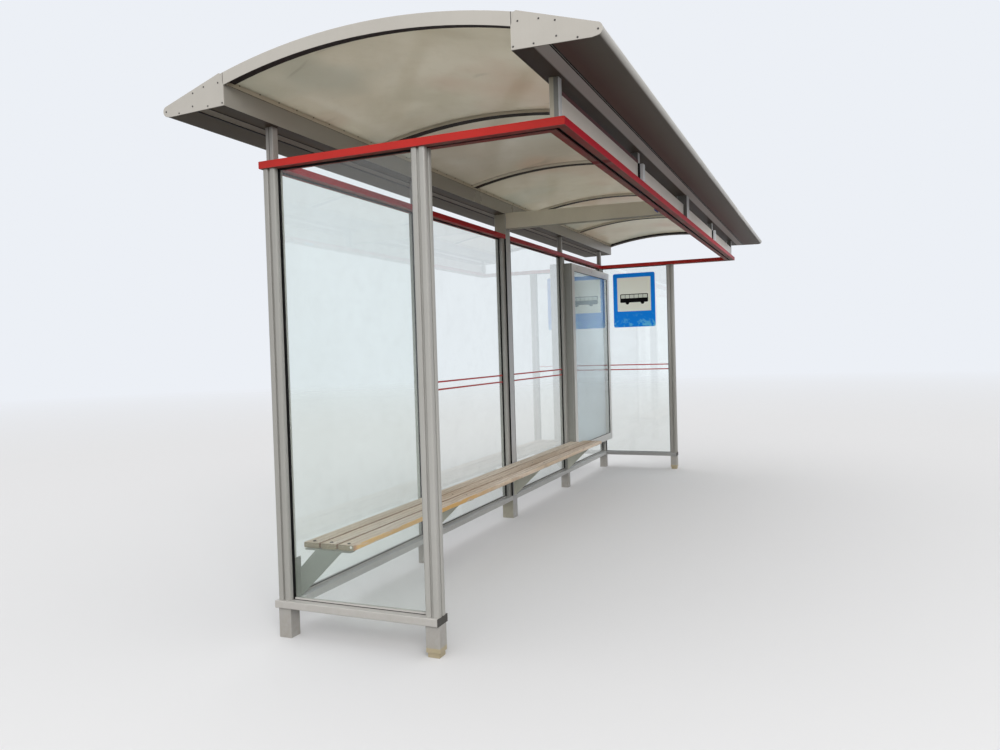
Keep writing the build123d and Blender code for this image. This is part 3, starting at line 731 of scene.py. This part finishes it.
# near and far rings a lighter copy of the red as painted light
ring_cross = ring_paint("red_ring_cross", rgb(0.62, 0.034, 0.028), 0.16, 0, post_x[1], post_x[5])
give(ring_cross, "ring_near", "ring_far")
ring_rear = ring_paint("red_ring_rear", rgb(0.52, 0.012, 0.022), 0.06, 1, front_rail_y, wall_y)
give(ring_rear, "ring_rear")
seal_rubber = rubber("roof_rubber", (0.3, 0.0), rgb(0.022, 0.017, 0.016), rgb(0.09, 0.08, 0.07), 0.3, 0.12)
give(seal_rubber, "roof_seals")
give(eaves_paint(), "rear_eaves_beam", "front_eaves_beam")
give(rib_paint(), "roof_ribs")
give(trim_paint(), "gable_trim_near", "gable_trim_far")
give(upper_post_paint(), "rear_upper_posts")
give(hanger_paint(), "front_hangers", "centre_hanger")

steel_head = plain_finish("steel_head", rgb(0.10, 0.095, 0.09), 0.35, 0.6)
dark_bolt = plain_finish("dark_bolt", rgb(0.05, 0.035, 0.026), 0.7, gloss=0.1)
lip_head = plain_finish("lip_head", rgb(0.22, 0.19, 0.15), 0.5, 0.3)
zinc_head = plain_finish("zinc_head", rgb(0.42, 0.42, 0.41), 0.3, 0.8)
red_film = plain_finish("red_film", rgb(0.50, 0.03, 0.03), 0.4)
white_film = plain_finish("white_film", rgb(0.86, 0.88, 0.79), 0.5)
cover_finish = plain_finish("cover_paint", rgb(0.72, 0.75, 0.78), 0.4)
window_film = plain_finish("window_film", rgb(0.66, 0.70, 0.62), 0.5)
black_film = plain_finish("black_film", rgb(0.005, 0.005, 0.006), 0.6, gloss=0.05)
blue_tag = plain_finish("blue_tag", rgb(0.05, 0.07, 0.35), 0.4)
pale_cap = plain_finish("pale_cap", rgb(0.66, 0.66, 0.64), 0.45)
dark_red_trim = plain_finish("dark_red_trim", rgb(0.07, 0.008, 0.010), 0.5)


# CAD nodes: material and softened edges

# Width of the rounded edges of each material slot, in millimetres
EDGE = {
    "post_paint": 0.8,
    "rail_paint": 0.8,
    "ring_red": 0.8,
    "roof_metal": 0.6,
    "bracket_paint": 0.8,
    "case_paint": 1.0,
    "panel_white": 0.5,
    "cap_dark": 0.8,
    "bench_wood": 0.4,
    "roof_sheet": 0.4,
    "rubber": 0.4,
    "sign_blue": 0.4,
}


def soften(piece, width):
    """Merges the loose triangles, rounds the edges a little and shades them smoothly."""
    weld = piece.modifiers.new("weld", "WELD")
    weld.merge_threshold = 0.00001
    bevel = piece.modifiers.new("bevel", "BEVEL")
    bevel.width = width
    bevel.segments = 2
    bevel.limit_method = "ANGLE"
    bevel.angle_limit = math.radians(28)
    bevel.use_clamp_overlap = False
    normals = piece.modifiers.new("normals", "WEIGHTED_NORMAL")
    normals.keep_sharp = False
    normals.weight = 60
    piece.data.shade_smooth()


for row in frame["record"]["subparts"]:
    node_name = row["node"]
    slot_name = row["material_slot"]
    piece = frame["nodes"][node_name]
    piece.data.materials.clear()
    piece.data.materials.append(node_finish.get(node_name) or finish[slot_name])
    if slot_name in EDGE:
        soften(piece, EDGE[slot_name] * MM)


# Pieces made here


def finished(name, mesh, material):
    """Object of the mesh, with its material, riding on the shelter."""
    piece = bpy.data.objects.new(name, mesh)
    bpy.context.scene.collection.objects.link(piece)
    mesh.materials.clear()
    mesh.materials.append(material)
    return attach(piece, "root")


def box_into(shape, low, high):
    """Adds a closed box between two corners."""
    corners = [
        shape.verts.new((x, y, z))
        for z in (low[2], high[2])
        for y in (low[1], high[1])
        for x in (low[0], high[0])
    ]
    for face in ((0, 2, 3, 1), (4, 5, 7, 6), (0, 1, 5, 4), (2, 6, 7, 3), (0, 4, 6, 2), (1, 3, 7, 5)):
        shape.faces.new([corners[i] for i in face])


def mesh_of(name, shape):
    """Mesh from a bmesh."""
    mesh = bpy.data.meshes.new(name)
    shape.to_mesh(mesh)
    shape.free()
    return mesh


def boxes(name, pairs, material, edge=0.0):
    """One piece of several closed boxes, with rounded edges where edge is given."""
    shape = bmesh.new()
    for low, high in pairs:
        box_into(shape, low, high)
    if edge:
        bmesh.ops.bevel(
            shape, geom=list(shape.edges), offset=edge, segments=2, profile=0.6, affect="EDGES"
        )
    return finished(name, mesh_of(name, shape), material)


def geometry_tree(name, inputs):
    """Geometry node tree with a geometry in and out and named inputs."""
    tree = bpy.data.node_groups.new(name, "GeometryNodeTree")
    for label, kind in (("Geometry", "Geometry"), *inputs):
        tree.interface.new_socket(label, in_out="INPUT", socket_type="NodeSocket" + kind)
    tree.interface.new_socket("Geometry", in_out="OUTPUT", socket_type="NodeSocketGeometry")
    source = tree.nodes.new("NodeGroupInput").outputs
    sink = tree.nodes.new("NodeGroupOutput").inputs[0]
    return tree, source, sink


def paint_into(tree, geometry, material, sink):
    """Ends a geometry tree in Set Material."""
    painted = place(tree, "GeometryNodeSetMaterial", {"Geometry": geometry, "Material": material})
    tree.links.new(painted.outputs["Geometry"], sink)


def heads_tree():
    """A screw head with a sunk drive on every point, standing along the point's facing."""
    tree, given, sink = geometry_tree(
        "screw_heads",
        (
            ("Radius", "Float"),
            ("Height", "Float"),
            ("Top Share", "Float"),
            ("Sides", "Int"),
            ("Material", "Material"),
        ),
    )
    head = place(
        tree,
        "GeometryNodeMeshCone",
        {
            "Vertices": given["Sides"],
            "Radius Top": times(tree, given["Radius"], given["Top Share"]),
            "Radius Bottom": given["Radius"],
            "Depth": given["Height"],
        },
    ).outputs
    values = {"Mesh": head["Mesh"], "Selection": head["Top"], "Offset Scale": 0.0}
    picked = place(tree, "GeometryNodeExtrudeMesh", values, mode="FACES").outputs
    values = {"Geometry": picked["Mesh"], "Selection": picked["Top"], "Scale": 0.5}
    shrink = place(tree, "GeometryNodeScaleElements", values).outputs["Geometry"]
    sunk = times(tree, given["Height"], -0.5)
    values = {"Mesh": shrink, "Selection": picked["Top"], "Offset Scale": sunk}
    drive = place(tree, "GeometryNodeExtrudeMesh", values, mode="FACES").outputs["Mesh"]
    way = place(tree, "GeometryNodeInputNamedAttribute", {"Name": "facing"}, data_type="FLOAT_VECTOR")
    values = {"Vector": way.outputs["Attribute"]}
    turn = place(tree, "FunctionNodeAlignRotationToVector", values, axis="Z").outputs["Rotation"]
    values = {"Points": given["Geometry"], "Instance": drive, "Rotation": turn}
    spread = place(tree, "GeometryNodeInstanceOnPoints", values).outputs["Instances"]
    real = place(tree, "GeometryNodeRealizeInstances", {"Geometry": spread}).outputs["Geometry"]
    paint_into(tree, real, given["Material"], sink)
    return tree


def bead_tree():
    """A bead of rectangular section along every edge path."""
    inputs = (("Width", "Float"), ("Height", "Float"), ("Material", "Material"))
    tree, given, sink = geometry_tree("section_bead", inputs)
    path = place(tree, "GeometryNodeMeshToCurve", {"Mesh": given["Geometry"]}).outputs["Curve"]
    values = {"Width": given["Width"], "Height": given["Height"]}
    profile = place(tree, "GeometryNodeCurvePrimitiveQuadrilateral", values).outputs["Curve"]
    values = {"Curve": path, "Profile Curve": profile, "Fill Caps": True}
    swept = place(tree, "GeometryNodeCurveToMesh", values).outputs["Mesh"]
    paint_into(tree, swept, given["Material"], sink)
    return tree


screw_heads = heads_tree()
section_bead = bead_tree()


def run_tree(name, mesh, tree, values, material):
    """Runs a geometry tree on a mesh and keeps the result as a plain mesh."""
    carrier = bpy.data.objects.new(name + "_carrier", mesh)
    bpy.context.scene.collection.objects.link(carrier)
    modifier = carrier.modifiers.new("shape", "NODES")
    modifier.node_group = tree
    values["Material"] = material
    for item in tree.interface.items_tree:
        if item.item_type == "SOCKET" and item.in_out == "INPUT" and item.name in values:
            modifier[item.identifier] = values[item.name]
    bpy.context.view_layer.update()
    evaluated = carrier.evaluated_get(bpy.context.evaluated_depsgraph_get())
    result = bpy.data.meshes.new_from_object(evaluated)
    result.name = name
    carrier.modifiers.clear()
    bpy.data.objects.remove(carrier)
    return finished(name, result, material)


def heads(name, points, radius, height, material, top_share, sides):
    """Screw heads at (place, facing) pairs, in metres."""
    mesh = bpy.data.meshes.new(name + "_points")
    mesh.from_pydata([spot for spot, _ in points], [], [])
    ways = mesh.attributes.new("facing", "FLOAT_VECTOR", "POINT")
    for index, (_, direction) in enumerate(points):
        ways.data[index].vector = direction
    values = {"Radius": radius, "Height": height, "Top Share": top_share, "Sides": sides}
    return run_tree(name, mesh, screw_heads, values, material)


# Fasteners of the roof

# Each screw of an end plate, in millimetres: outward from the inner face and up from the soffit
PLATE_SCREWS = ((30, 107), (116, 101), (182, 82), (350, 19), (270, 2), (186, 22), (94, 10), (9, 12))
LIP_PITCH = 143 * MM
LIP_FIRST = 106 * MM
LIP_UP = 118 * MM
LIP_DEPTH = 4 * MM


def plate_screws():
    """Screws of the four end plates."""
    points = []
    for end in (NEAR, FAR):
        for side in (REAR, FRONT):
            for outward, up in PLATE_SCREWS:
                spot = (end * end_x, side * (eaves_inner_y + outward * MM), soffit_inner + up * MM)
                points.append((spot, (end, 0.0, 0.0)))
    heads("end_plate_screws", points, 4.2 * MM, 2.2 * MM, steel_head, 0.72, 12)


def lip_bolts():
    """Bolts along the lip of both eaves beams."""
    count = int((2 * (end_x - LIP_FIRST)) / LIP_PITCH) + 1
    points = []
    for side in (REAR, FRONT):
        for n in range(count):
            x = -end_x + LIP_FIRST + n * LIP_PITCH
            spot = (x, side * (eaves_inner_y - LIP_DEPTH), soffit_inner + LIP_UP)
            points.append((spot, (0.0, -side, 0.0)))
    heads("lip_bolts", points, 4.0 * MM, 3.5 * MM, lip_head, 0.9, 6)


plate_screws()
lip_bolts()

# Dark seams along the rear soffit, in millimetres: from and to outward, and how far they hang down
SOFFIT_SEAMS = ((156, 164, 3), (88, 93, 2))
# The soffit falls 7 mm over its 326 mm
SOFFIT_FALL = 7 / 326
SEAM_INSET = 6 * MM


def soffit_seams():
    """Sealed seams between the sheets of the rear soffit."""
    pairs = []
    for start, stop, drop in SOFFIT_SEAMS:
        skin = soffit_inner - SOFFIT_FALL * start * MM
        low = (-end_x + SEAM_INSET, eaves_inner_y + start * MM, skin - drop * MM)
        high = (end_x - SEAM_INSET, eaves_inner_y + stop * MM, skin + 1 * MM)
        pairs.append((low, high))
    boxes("soffit_seams", pairs, finish["rubber"])


soffit_seams()

# Stripes on the glass

STRIPE_LEVELS = (1225 * MM, 1170 * MM)
STRIPE_HEIGHT = 12 * MM
STRIPE_INSET = 4 * MM
FILM = 0.3 * MM
FILM_GAP = 0.4 * MM


def glass_stripes():
    """Two thin red warning stripes on the rear panes beside the column and on the far pane."""
    pairs = []
    rear_y = glass_low.y - FILM_GAP
    far_x = lo_hi("side_glass_far")[0].x - FILM_GAP
    far_y0 = front_post_y + half_post + STRIPE_INSET
    far_y1 = wall_y - half_post - STRIPE_INSET
    for level in STRIPE_LEVELS:
        top = level + STRIPE_HEIGHT
        for x0, x1 in ((post_x[2] + half_post, -jamb_face), (jamb_face, post_x[4] - half_post)):
            pairs.append(((x0 + STRIPE_INSET, rear_y - FILM, level), (x1 - STRIPE_INSET, rear_y, top)))
        pairs.append(((far_x - FILM, far_y0, level), (far_x, far_y1, top)))
    boxes("glass_stripes", pairs, red_film)


glass_stripes()

# Rubber lips where the panes meet posts and rails

LIP_WIDE = 7 * MM
LIP_PROUD = 3 * MM
BEAD_TOP = rail_top + 9 * MM
BLACK_TOP = rail_top + 12 * MM
OUTER_BEAD_TOP = rail_top + 15 * MM
COLUMN_JOINT = 1.5 * MM
COLUMN_JOINT_DEPTH = 12 * MM


def pane_lips():
    """Black lips on both faces of every pane, pale beads at the foot of most, joints by the column."""
    pairs = []
    foot_beads = []
    rear_spans = (
        (post_x[1] + half_post, post_x[2] - half_post),
        (post_x[2] + half_post, -jamb_face),
        (jamb_face, post_x[4] - half_post),
        (post_x[4] + half_post, post_x[5] - half_post),
    )
    for y0, y1 in ((glass_low.y - LIP_PROUD, glass_low.y), (glass_high.y, glass_high.y + LIP_PROUD)):
        for start, stop in rear_spans:
            x0 = start + LIP_WIDE
            x1 = stop - LIP_WIDE
            pairs.append(((start, y0, rail_top), (x0, y1, ring_under)))
            pairs.append(((x1, y0, rail_top), (stop, y1, ring_under)))
            pairs.append(((x0, y0, ring_under - LIP_WIDE), (x1, y1, ring_under)))
            if y0 < wall_y:
                foot_beads.append(((x0, y0, rail_top), (x1, y1, BEAD_TOP)))
                pairs.append(((x0, y0, BEAD_TOP), (x1, y1, BLACK_TOP)))
            else:
                foot_beads.append(((x0, y0, rail_top), (x1, y1 + LIP_WIDE, OUTER_BEAD_TOP)))
    low_y = front_post_y + half_post
    high_y = wall_y - half_post
    y0 = low_y + LIP_WIDE
    y1 = high_y - LIP_WIDE
    for node in ("side_glass_near", "side_glass_far"):
        low, high = lo_hi(node)
        for x0, x1 in ((low.x - LIP_PROUD, low.x), (high.x, high.x + LIP_PROUD)):
            pairs.append(((x0, low_y, rail_top), (x1, y0, ring_under)))
            pairs.append(((x0, y1, rail_top), (x1, high_y, ring_under)))
            pairs.append(((x0, y0, ring_under - LIP_WIDE), (x1, y1, ring_under)))
            if node == "side_glass_near":
                pairs.append(((x0, y0, rail_top), (x1, y1, rail_top + LIP_PROUD)))
                foot_beads.append(((x0, y0, rail_top + LIP_PROUD), (x1, y1, BLACK_TOP)))
    for x in (column_low.x - COLUMN_JOINT, column_high.x):
        low = (x, column_low.y - 1 * MM, rail_top)
        pairs.append((low, (x + COLUMN_JOINT, column_low.y + COLUMN_JOINT_DEPTH, ring_under)))
    boxes("pane_lips", pairs, finish["rubber"])
    boxes("foot_beads", foot_beads, finish["rail_paint"], 1 * MM)


pane_lips()

# Stop sign: pale square with a plain bus seen from the side

FIELD = 402 * MM
FIELD_DROP = 50 * MM
LAYER = 0.4 * MM
BUS_LENGTH = 335 * MM
BUS_HEIGHT = 101 * MM
BUS_UP = 104 * MM
WHEEL = 23 * MM
WHEEL_SHARES = (0.2, 0.74)
WINDOWS = 6
WINDOW_MARGIN = 10 * MM
WINDOW_GAP = 5 * MM
WINDOW_DROPS = (50 * MM, 9 * MM)
ARC_STEPS = 6


def rounded_loop(y0, y1, z0, z1, radius):
    """Points of a rounded rectangle in the plane of the sign."""
    points = []
    for cy, cz, start in (
        (y1 - radius, z1 - radius, 0),
        (y0 + radius, z1 - radius, 90),
        (y0 + radius, z0 + radius, 180),
        (y1 - radius, z0 + radius, 270),
    ):
        for n in range(ARC_STEPS + 1):
            a = math.radians(start + 90 * n / ARC_STEPS)
            points.append((cy + radius * math.cos(a), cz + radius * math.sin(a)))
    return points


def slab(shape, loop, x0, x1):
    """Closed flat piece of that outline between two depths, x0 nearest to the viewer."""
    front = [shape.verts.new((x0, y, z)) for y, z in loop]
    back = [shape.verts.new((x1, y, z)) for y, z in loop]
    shape.faces.new(front)
    shape.faces.new(list(reversed(back)))
    count = len(loop)
    for i in range(count):
        j = (i + 1) % count
        shape.faces.new((front[j], front[i], back[i], back[j]))


def sign_film(name, loops, material):
    """One thin piece of outlines, each with the layers at which it starts and ends."""
    shape = bmesh.new()
    for loop, over, under in loops:
        slab(shape, loop, sign_low.x - over * LAYER, sign_low.x - under * LAYER)
    bmesh.ops.recalc_face_normals(shape, faces=shape.faces)
    finished(name, mesh_of(name, shape), material)


def sign_art():
    """Square field, bus body with wheels, and windows, as thin films over each other."""
    centre_y = (sign_low.y + sign_high.y) / 2
    top = sign_high.z - FIELD_DROP
    bottom = top - FIELD
    half = FIELD / 2
    field = rounded_loop(centre_y - half, centre_y + half, bottom, top, 8 * MM)
    sign_film("sign_field", [(field, 1, 0)], white_film)

    body_low = bottom + BUS_UP
    body_top = body_low + BUS_HEIGHT
    y0 = centre_y - BUS_LENGTH / 2
    y1 = centre_y + BUS_LENGTH / 2
    bus = [(rounded_loop(y0, y1, body_low, body_top, 12 * MM), 2, 1)]
    for share in WHEEL_SHARES:
        y = y0 + share * BUS_LENGTH
        wheel = rounded_loop(y - WHEEL, y + WHEEL, body_low - WHEEL, body_low + WHEEL, WHEEL * 0.99)
        bus.append((wheel, 3, 1))
    sign_film("sign_bus", bus, black_film)

    width = (BUS_LENGTH - 2 * WINDOW_MARGIN - (WINDOWS - 1) * WINDOW_GAP) / WINDOWS
    windows = []
    for n in range(WINDOWS):
        w0 = y0 + WINDOW_MARGIN + n * (width + WINDOW_GAP)
        z0, z1 = (body_top - drop for drop in WINDOW_DROPS)
        window = rounded_loop(w0, w0 + width, z0, z1, 4 * MM)
        windows.append((window, 3, 2))
    sign_film("sign_bus_windows", windows, window_film)


sign_art()

# Poster case: rubber bead in the opening, screws and locks

BEAD_INSET = 12 * MM
BEAD_PROUD = 2.2 * MM
CASE_SCREW_SHARES = (0.12, 0.5, 0.88)
CASE_SCREW_INSET = 38 * MM
CASE_LOCK_SHARES = (0.3, 0.7)
CASE_LOCK_INSET = 40 * MM


def case_bead():
    """Black bead round the poster opening."""
    x0 = pane_low.x + BEAD_INSET
    x1 = pane_high.x - BEAD_INSET
    z0 = pane_low.z + BEAD_INSET
    z1 = pane_high.z - BEAD_INSET
    y = pane_low.y - BEAD_PROUD
    mesh = bpy.data.meshes.new("case_bead_path")
    corners = [(x0, y, z0), (x1, y, z0), (x1, y, z1), (x0, y, z1)]
    mesh.from_pydata(corners, [(0, 1), (1, 2), (2, 3), (3, 0)], [])
    values = {"Width": 7 * MM, "Height": 4 * MM}
    run_tree("case_bead", mesh, section_bead, values, finish["rubber"])


def case_locks():
    """Screws along the top and foot of the door frame, and two locks at its side."""
    street = (0.0, -1.0, 0.0)
    front = case_low.y
    points = []
    for z in (case_low.z + CASE_SCREW_INSET, case_high.z - CASE_SCREW_INSET):
        for share in CASE_SCREW_SHARES:
            points.append(((case_low.x + share * (case_high.x - case_low.x), front, z), street))
    for share in CASE_LOCK_SHARES:
        z = case_low.z + share * (case_high.z - case_low.z)
        points.append(((case_high.x - CASE_LOCK_INSET, front, z), street))
    heads("case_locks", points, 7 * MM, 2 * MM, zinc_head, 0.85, 16)


case_bead()
case_locks()

# Bench: bolts through the slats, cap on the near end

BRACKET_REACH = 0.1
NEAR_BOLT_INSET = 28 * MM


def bracket_middles():
    """Middle of each bench bracket along the shelter."""
    corners = frame["nodes"]["bench_brackets"].data.vertices
    edges = sorted({round(v.co.x, 3) for v in corners if abs(v.co.z - bracket_top) < 0.5 * MM})
    middles = []
    while edges:
        first = edges[0]
        own = [x for x in edges if x - first < BRACKET_REACH]
        middles.append((own[0] + own[-1]) / 2)
        edges = edges[len(own):]
    return middles


def bench_bolts():
    """A bolt over each bracket in each slat, larger on the near end, and a pale end cap."""
    near_points = []
    points = []
    up = (0.0, 0.0, 1.0)
    z = slat_high.z - 0.2 * MM
    for low, high in slats:
        y = (low.y + high.y) / 2
        near_points.append(((low.x + NEAR_BOLT_INSET, y, z), up))
        for x in bracket_middles()[1:]:
            if x < high.x - 5 * MM:
                points.append(((x, y, z), up))
    heads("near_bench_bolts", near_points, 10 * MM, 4 * MM, dark_bolt, 0.7, 16)
    heads("bench_bolts", points, 6 * MM, 1.5 * MM, dark_bolt, 0.7, 16)
    cap = [((slat_low.x, slat_low.y + 17 * MM, slat_high.z - 10 * MM), (-1.0, 0.0, 0.0))]
    heads("slat_end_cap", cap, 7 * MM, 2.5 * MM, pale_cap, 0.8, 16)


bench_bolts()


def cap_screws():
    """Two screws in each dark cap on the street ends of the side rails."""
    z = (cap_low.z + cap_high.z) / 2
    points = []
    for middle in (post_x[1], post_x[5]):
        for offset in (-30 * MM, 30 * MM):
            points.append(((middle + offset, cap_low.y, z), (0.0, -1.0, 0.0)))
    heads("cap_screws", points, 4.5 * MM, 1.5 * MM, steel_head, 0.7, 12)


cap_screws()

# Name band: trim over the first panel, cover strips over the plain joints

hanger_shift = (post_size - tube_size) / 2
STRIP_HEIGHT = 20 * MM
STRIP_DEPTH = 4 * MM
COVER_DEPTH = 30 * MM
RUBBER_WIDE = 16 * MM
RUBBER_DEPTH = 10 * MM


def band_strip():
    """Narrow dark red trim on top of the panel nearest to the near end."""
    x1 = post_x[2] - hanger_shift - tube_size / 2 - 3 * MM
    low = (band_low.x + 1 * MM, band_low.y, band_high.z)
    high = (x1, band_low.y + STRIP_DEPTH, band_high.z + STRIP_HEIGHT)
    boxes("band_strip", [(low, high)], dark_red_trim, 0.6 * MM)


def joint_covers():
    """Bright cover strip with a dark rubber edge over each plain joint of the name band; the dark edge is
    also painted shade of the gap.
    """
    face = band_low.y
    covers = []
    edges = []
    for middle in (post_x[2] - hanger_shift, post_x[4] - hanger_shift):
        x0 = middle - tube_size / 2
        x1 = middle + tube_size / 2
        covers.append(((x0, face - COVER_DEPTH, ring_top), (x1, face, band_high.z)))
        # dark edge beside each cover: rubber that also stands in as painted shade of the gap
        edges.append(((x0 - RUBBER_WIDE, face - RUBBER_DEPTH, ring_top), (x0, face, band_high.z)))
    boxes("joint_covers", covers, cover_finish, 1 * MM)
    boxes("joint_edges", edges, finish["rubber"])


band_strip()
joint_covers()

# Plain blue tag under the front ring

TAG_ENDS = (-790 * MM, -660 * MM)
TAG_HALF_HEIGHT = 9 * MM


def ring_tag():
    """Short blue tag that hangs on the inner edge of the front ring."""
    low = (TAG_ENDS[0], ring_high.y, ring_under - TAG_HALF_HEIGHT)
    high = (TAG_ENDS[1], ring_high.y + 2 * MM, ring_under + TAG_HALF_HEIGHT)
    boxes("ring_tag", [(low, high)], blue_tag, 0.4 * MM)


ring_tag()

# Camera

CAMERA_PLACE = Vector((-6.281, -1.858, 1.437))
CAMERA_LENS = 28.36
CAMERA_HEADING = math.radians(23.127)
CAMERA_TILT = math.radians(-1.72)
CAMERA_ROLL = math.radians(-1.671)


def add_camera():
    """Camera at the viewing place, with its roll."""
    forward = Vector(
        (
            math.cos(CAMERA_HEADING) * math.cos(CAMERA_TILT),
            math.sin(CAMERA_HEADING) * math.cos(CAMERA_TILT),
            math.sin(CAMERA_TILT),
        )
    )
    level_right = Vector((math.sin(CAMERA_HEADING), -math.cos(CAMERA_HEADING), 0.0))
    level_up = level_right.cross(forward)
    right = math.cos(CAMERA_ROLL) * level_right + math.sin(CAMERA_ROLL) * level_up
    up = -math.sin(CAMERA_ROLL) * level_right + math.cos(CAMERA_ROLL) * level_up
    data = bpy.data.cameras.new("view")
    data.lens = CAMERA_LENS
    data.sensor_width = 36.0
    data.clip_end = 500.0
    camera = bpy.data.objects.new("view", data)
    bpy.context.scene.collection.objects.link(camera)
    turn = Matrix((right, up, -forward)).transposed()
    camera.matrix_world = Matrix.Translation(CAMERA_PLACE) @ turn.to_4x4()
    bpy.context.scene.camera = camera


add_camera()

# Light, floor and background

SKY = rgb(0.84, 0.87, 0.92)
SKY_LIGHT = rgb(0.88, 0.87, 0.86)
FLOOR = rgb(0.80, 0.81, 0.83)
FLOOR_LIGHT = rgb(0.2, 0.19, 0.18)
FLOOR_RADIUS = 80.0
FLOOR_FADE = (9.0, 34.0)


def seen_directly(tree):
    """Mask of the rays that show the background itself, in a mirror or through glass too."""
    path = place(tree, "ShaderNodeLightPath").outputs
    seen = maths(tree, "MAXIMUM", path["Is Camera Ray"], path["Is Glossy Ray"])
    return maths(tree, "MAXIMUM", seen, path["Is Transmission Ray"])


def add_world():
    """Even pale sky."""
    world = bpy.data.worlds.new("sky")
    bpy.context.scene.world = world
    world.use_nodes = True
    tree = world.node_tree
    tree.nodes.clear()
    colour = blend(tree, seen_directly(tree), SKY_LIGHT, SKY)
    sky = place(tree, "ShaderNodeBackground", {"Color": colour, "Strength": 1.0})
    place(tree, "ShaderNodeOutputWorld", {0: sky.outputs[0]})


def add_floor():
    """Pale floor that fades into the background, darker for light that bounces off it."""
    shape = bmesh.new()
    bmesh.ops.create_circle(shape, cap_ends=True, radius=FLOOR_RADIUS, segments=96)
    mesh = mesh_of("floor", shape)
    material = bpy.data.materials.new("floor")
    material.use_nodes = True
    tree = material.node_tree
    tree.nodes.clear()
    seen = seen_directly(tree)
    matt = place(tree, "ShaderNodeBsdfDiffuse", {"Color": blend(tree, seen, FLOOR_LIGHT, FLOOR)})
    clear = place(tree, "ShaderNodeBsdfTransparent")
    space = object_space(tree)
    length = place(tree, "ShaderNodeVectorMath", {0: space}, operation="LENGTH").outputs["Value"]
    fade = times(tree, remap(tree, length, *FLOOR_FADE), seen)
    place(tree, "ShaderNodeOutputMaterial", {0: mix_shaders(tree, fade, matt, clear).outputs[0]})
    mesh.materials.append(material)
    floor = bpy.data.objects.new("floor", mesh)
    bpy.context.scene.collection.objects.link(floor)


def add_lamp(name, kind, spot, direction, mirrored=False, **settings):
    """Lamp that shines along a direction; glossy surfaces show it only where mirrored is true."""
    data = bpy.data.lights.new(name, kind)
    for key, value in settings.items():
        setattr(data, key, value)
    lamp = bpy.data.objects.new(name, data)
    lamp.location = spot
    lamp.rotation_euler = Vector(direction).to_track_quat("-Z", "Y").to_euler()
    lamp.visible_glossy = mirrored
    bpy.context.scene.collection.objects.link(lamp)


def add_lamps():
    """Large soft lamp, broad light from low that reaches under the roof, narrow one on the sign."""
    key = Vector((-11.0, -6.0, 7.0))
    add_lamp(
        "key", "AREA", key, Vector((-1.0, 0.0, 1.6)) - key, mirrored=True,
        shape="SQUARE", size=5.0, energy=420.0, color=(1.0, 0.98, 0.95),
    )
    add_lamp(
        "low_sky", "SUN", (-12.0, -5.0, 4.0), (1.0, 0.36, -0.2),
        angle=math.radians(70), energy=0.9, color=(1.0, 0.99, 0.97),
    )
    street = Vector((-6.0, -7.5, 2.4))
    sign = Vector((sign_low.x, (sign_low.y + sign_high.y) / 2, (sign_low.z + sign_high.z) / 2))
    add_lamp(
        "sign_lamp", "SPOT", street, sign - street,
        energy=1900.0, spot_size=math.radians(11), spot_blend=1.0, shadow_soft_size=0.4,
    )


add_world()
add_floor()
add_lamps()
bpy.context.scene.view_settings.view_transform = "Standard"

bpy.context.view_layer.update()
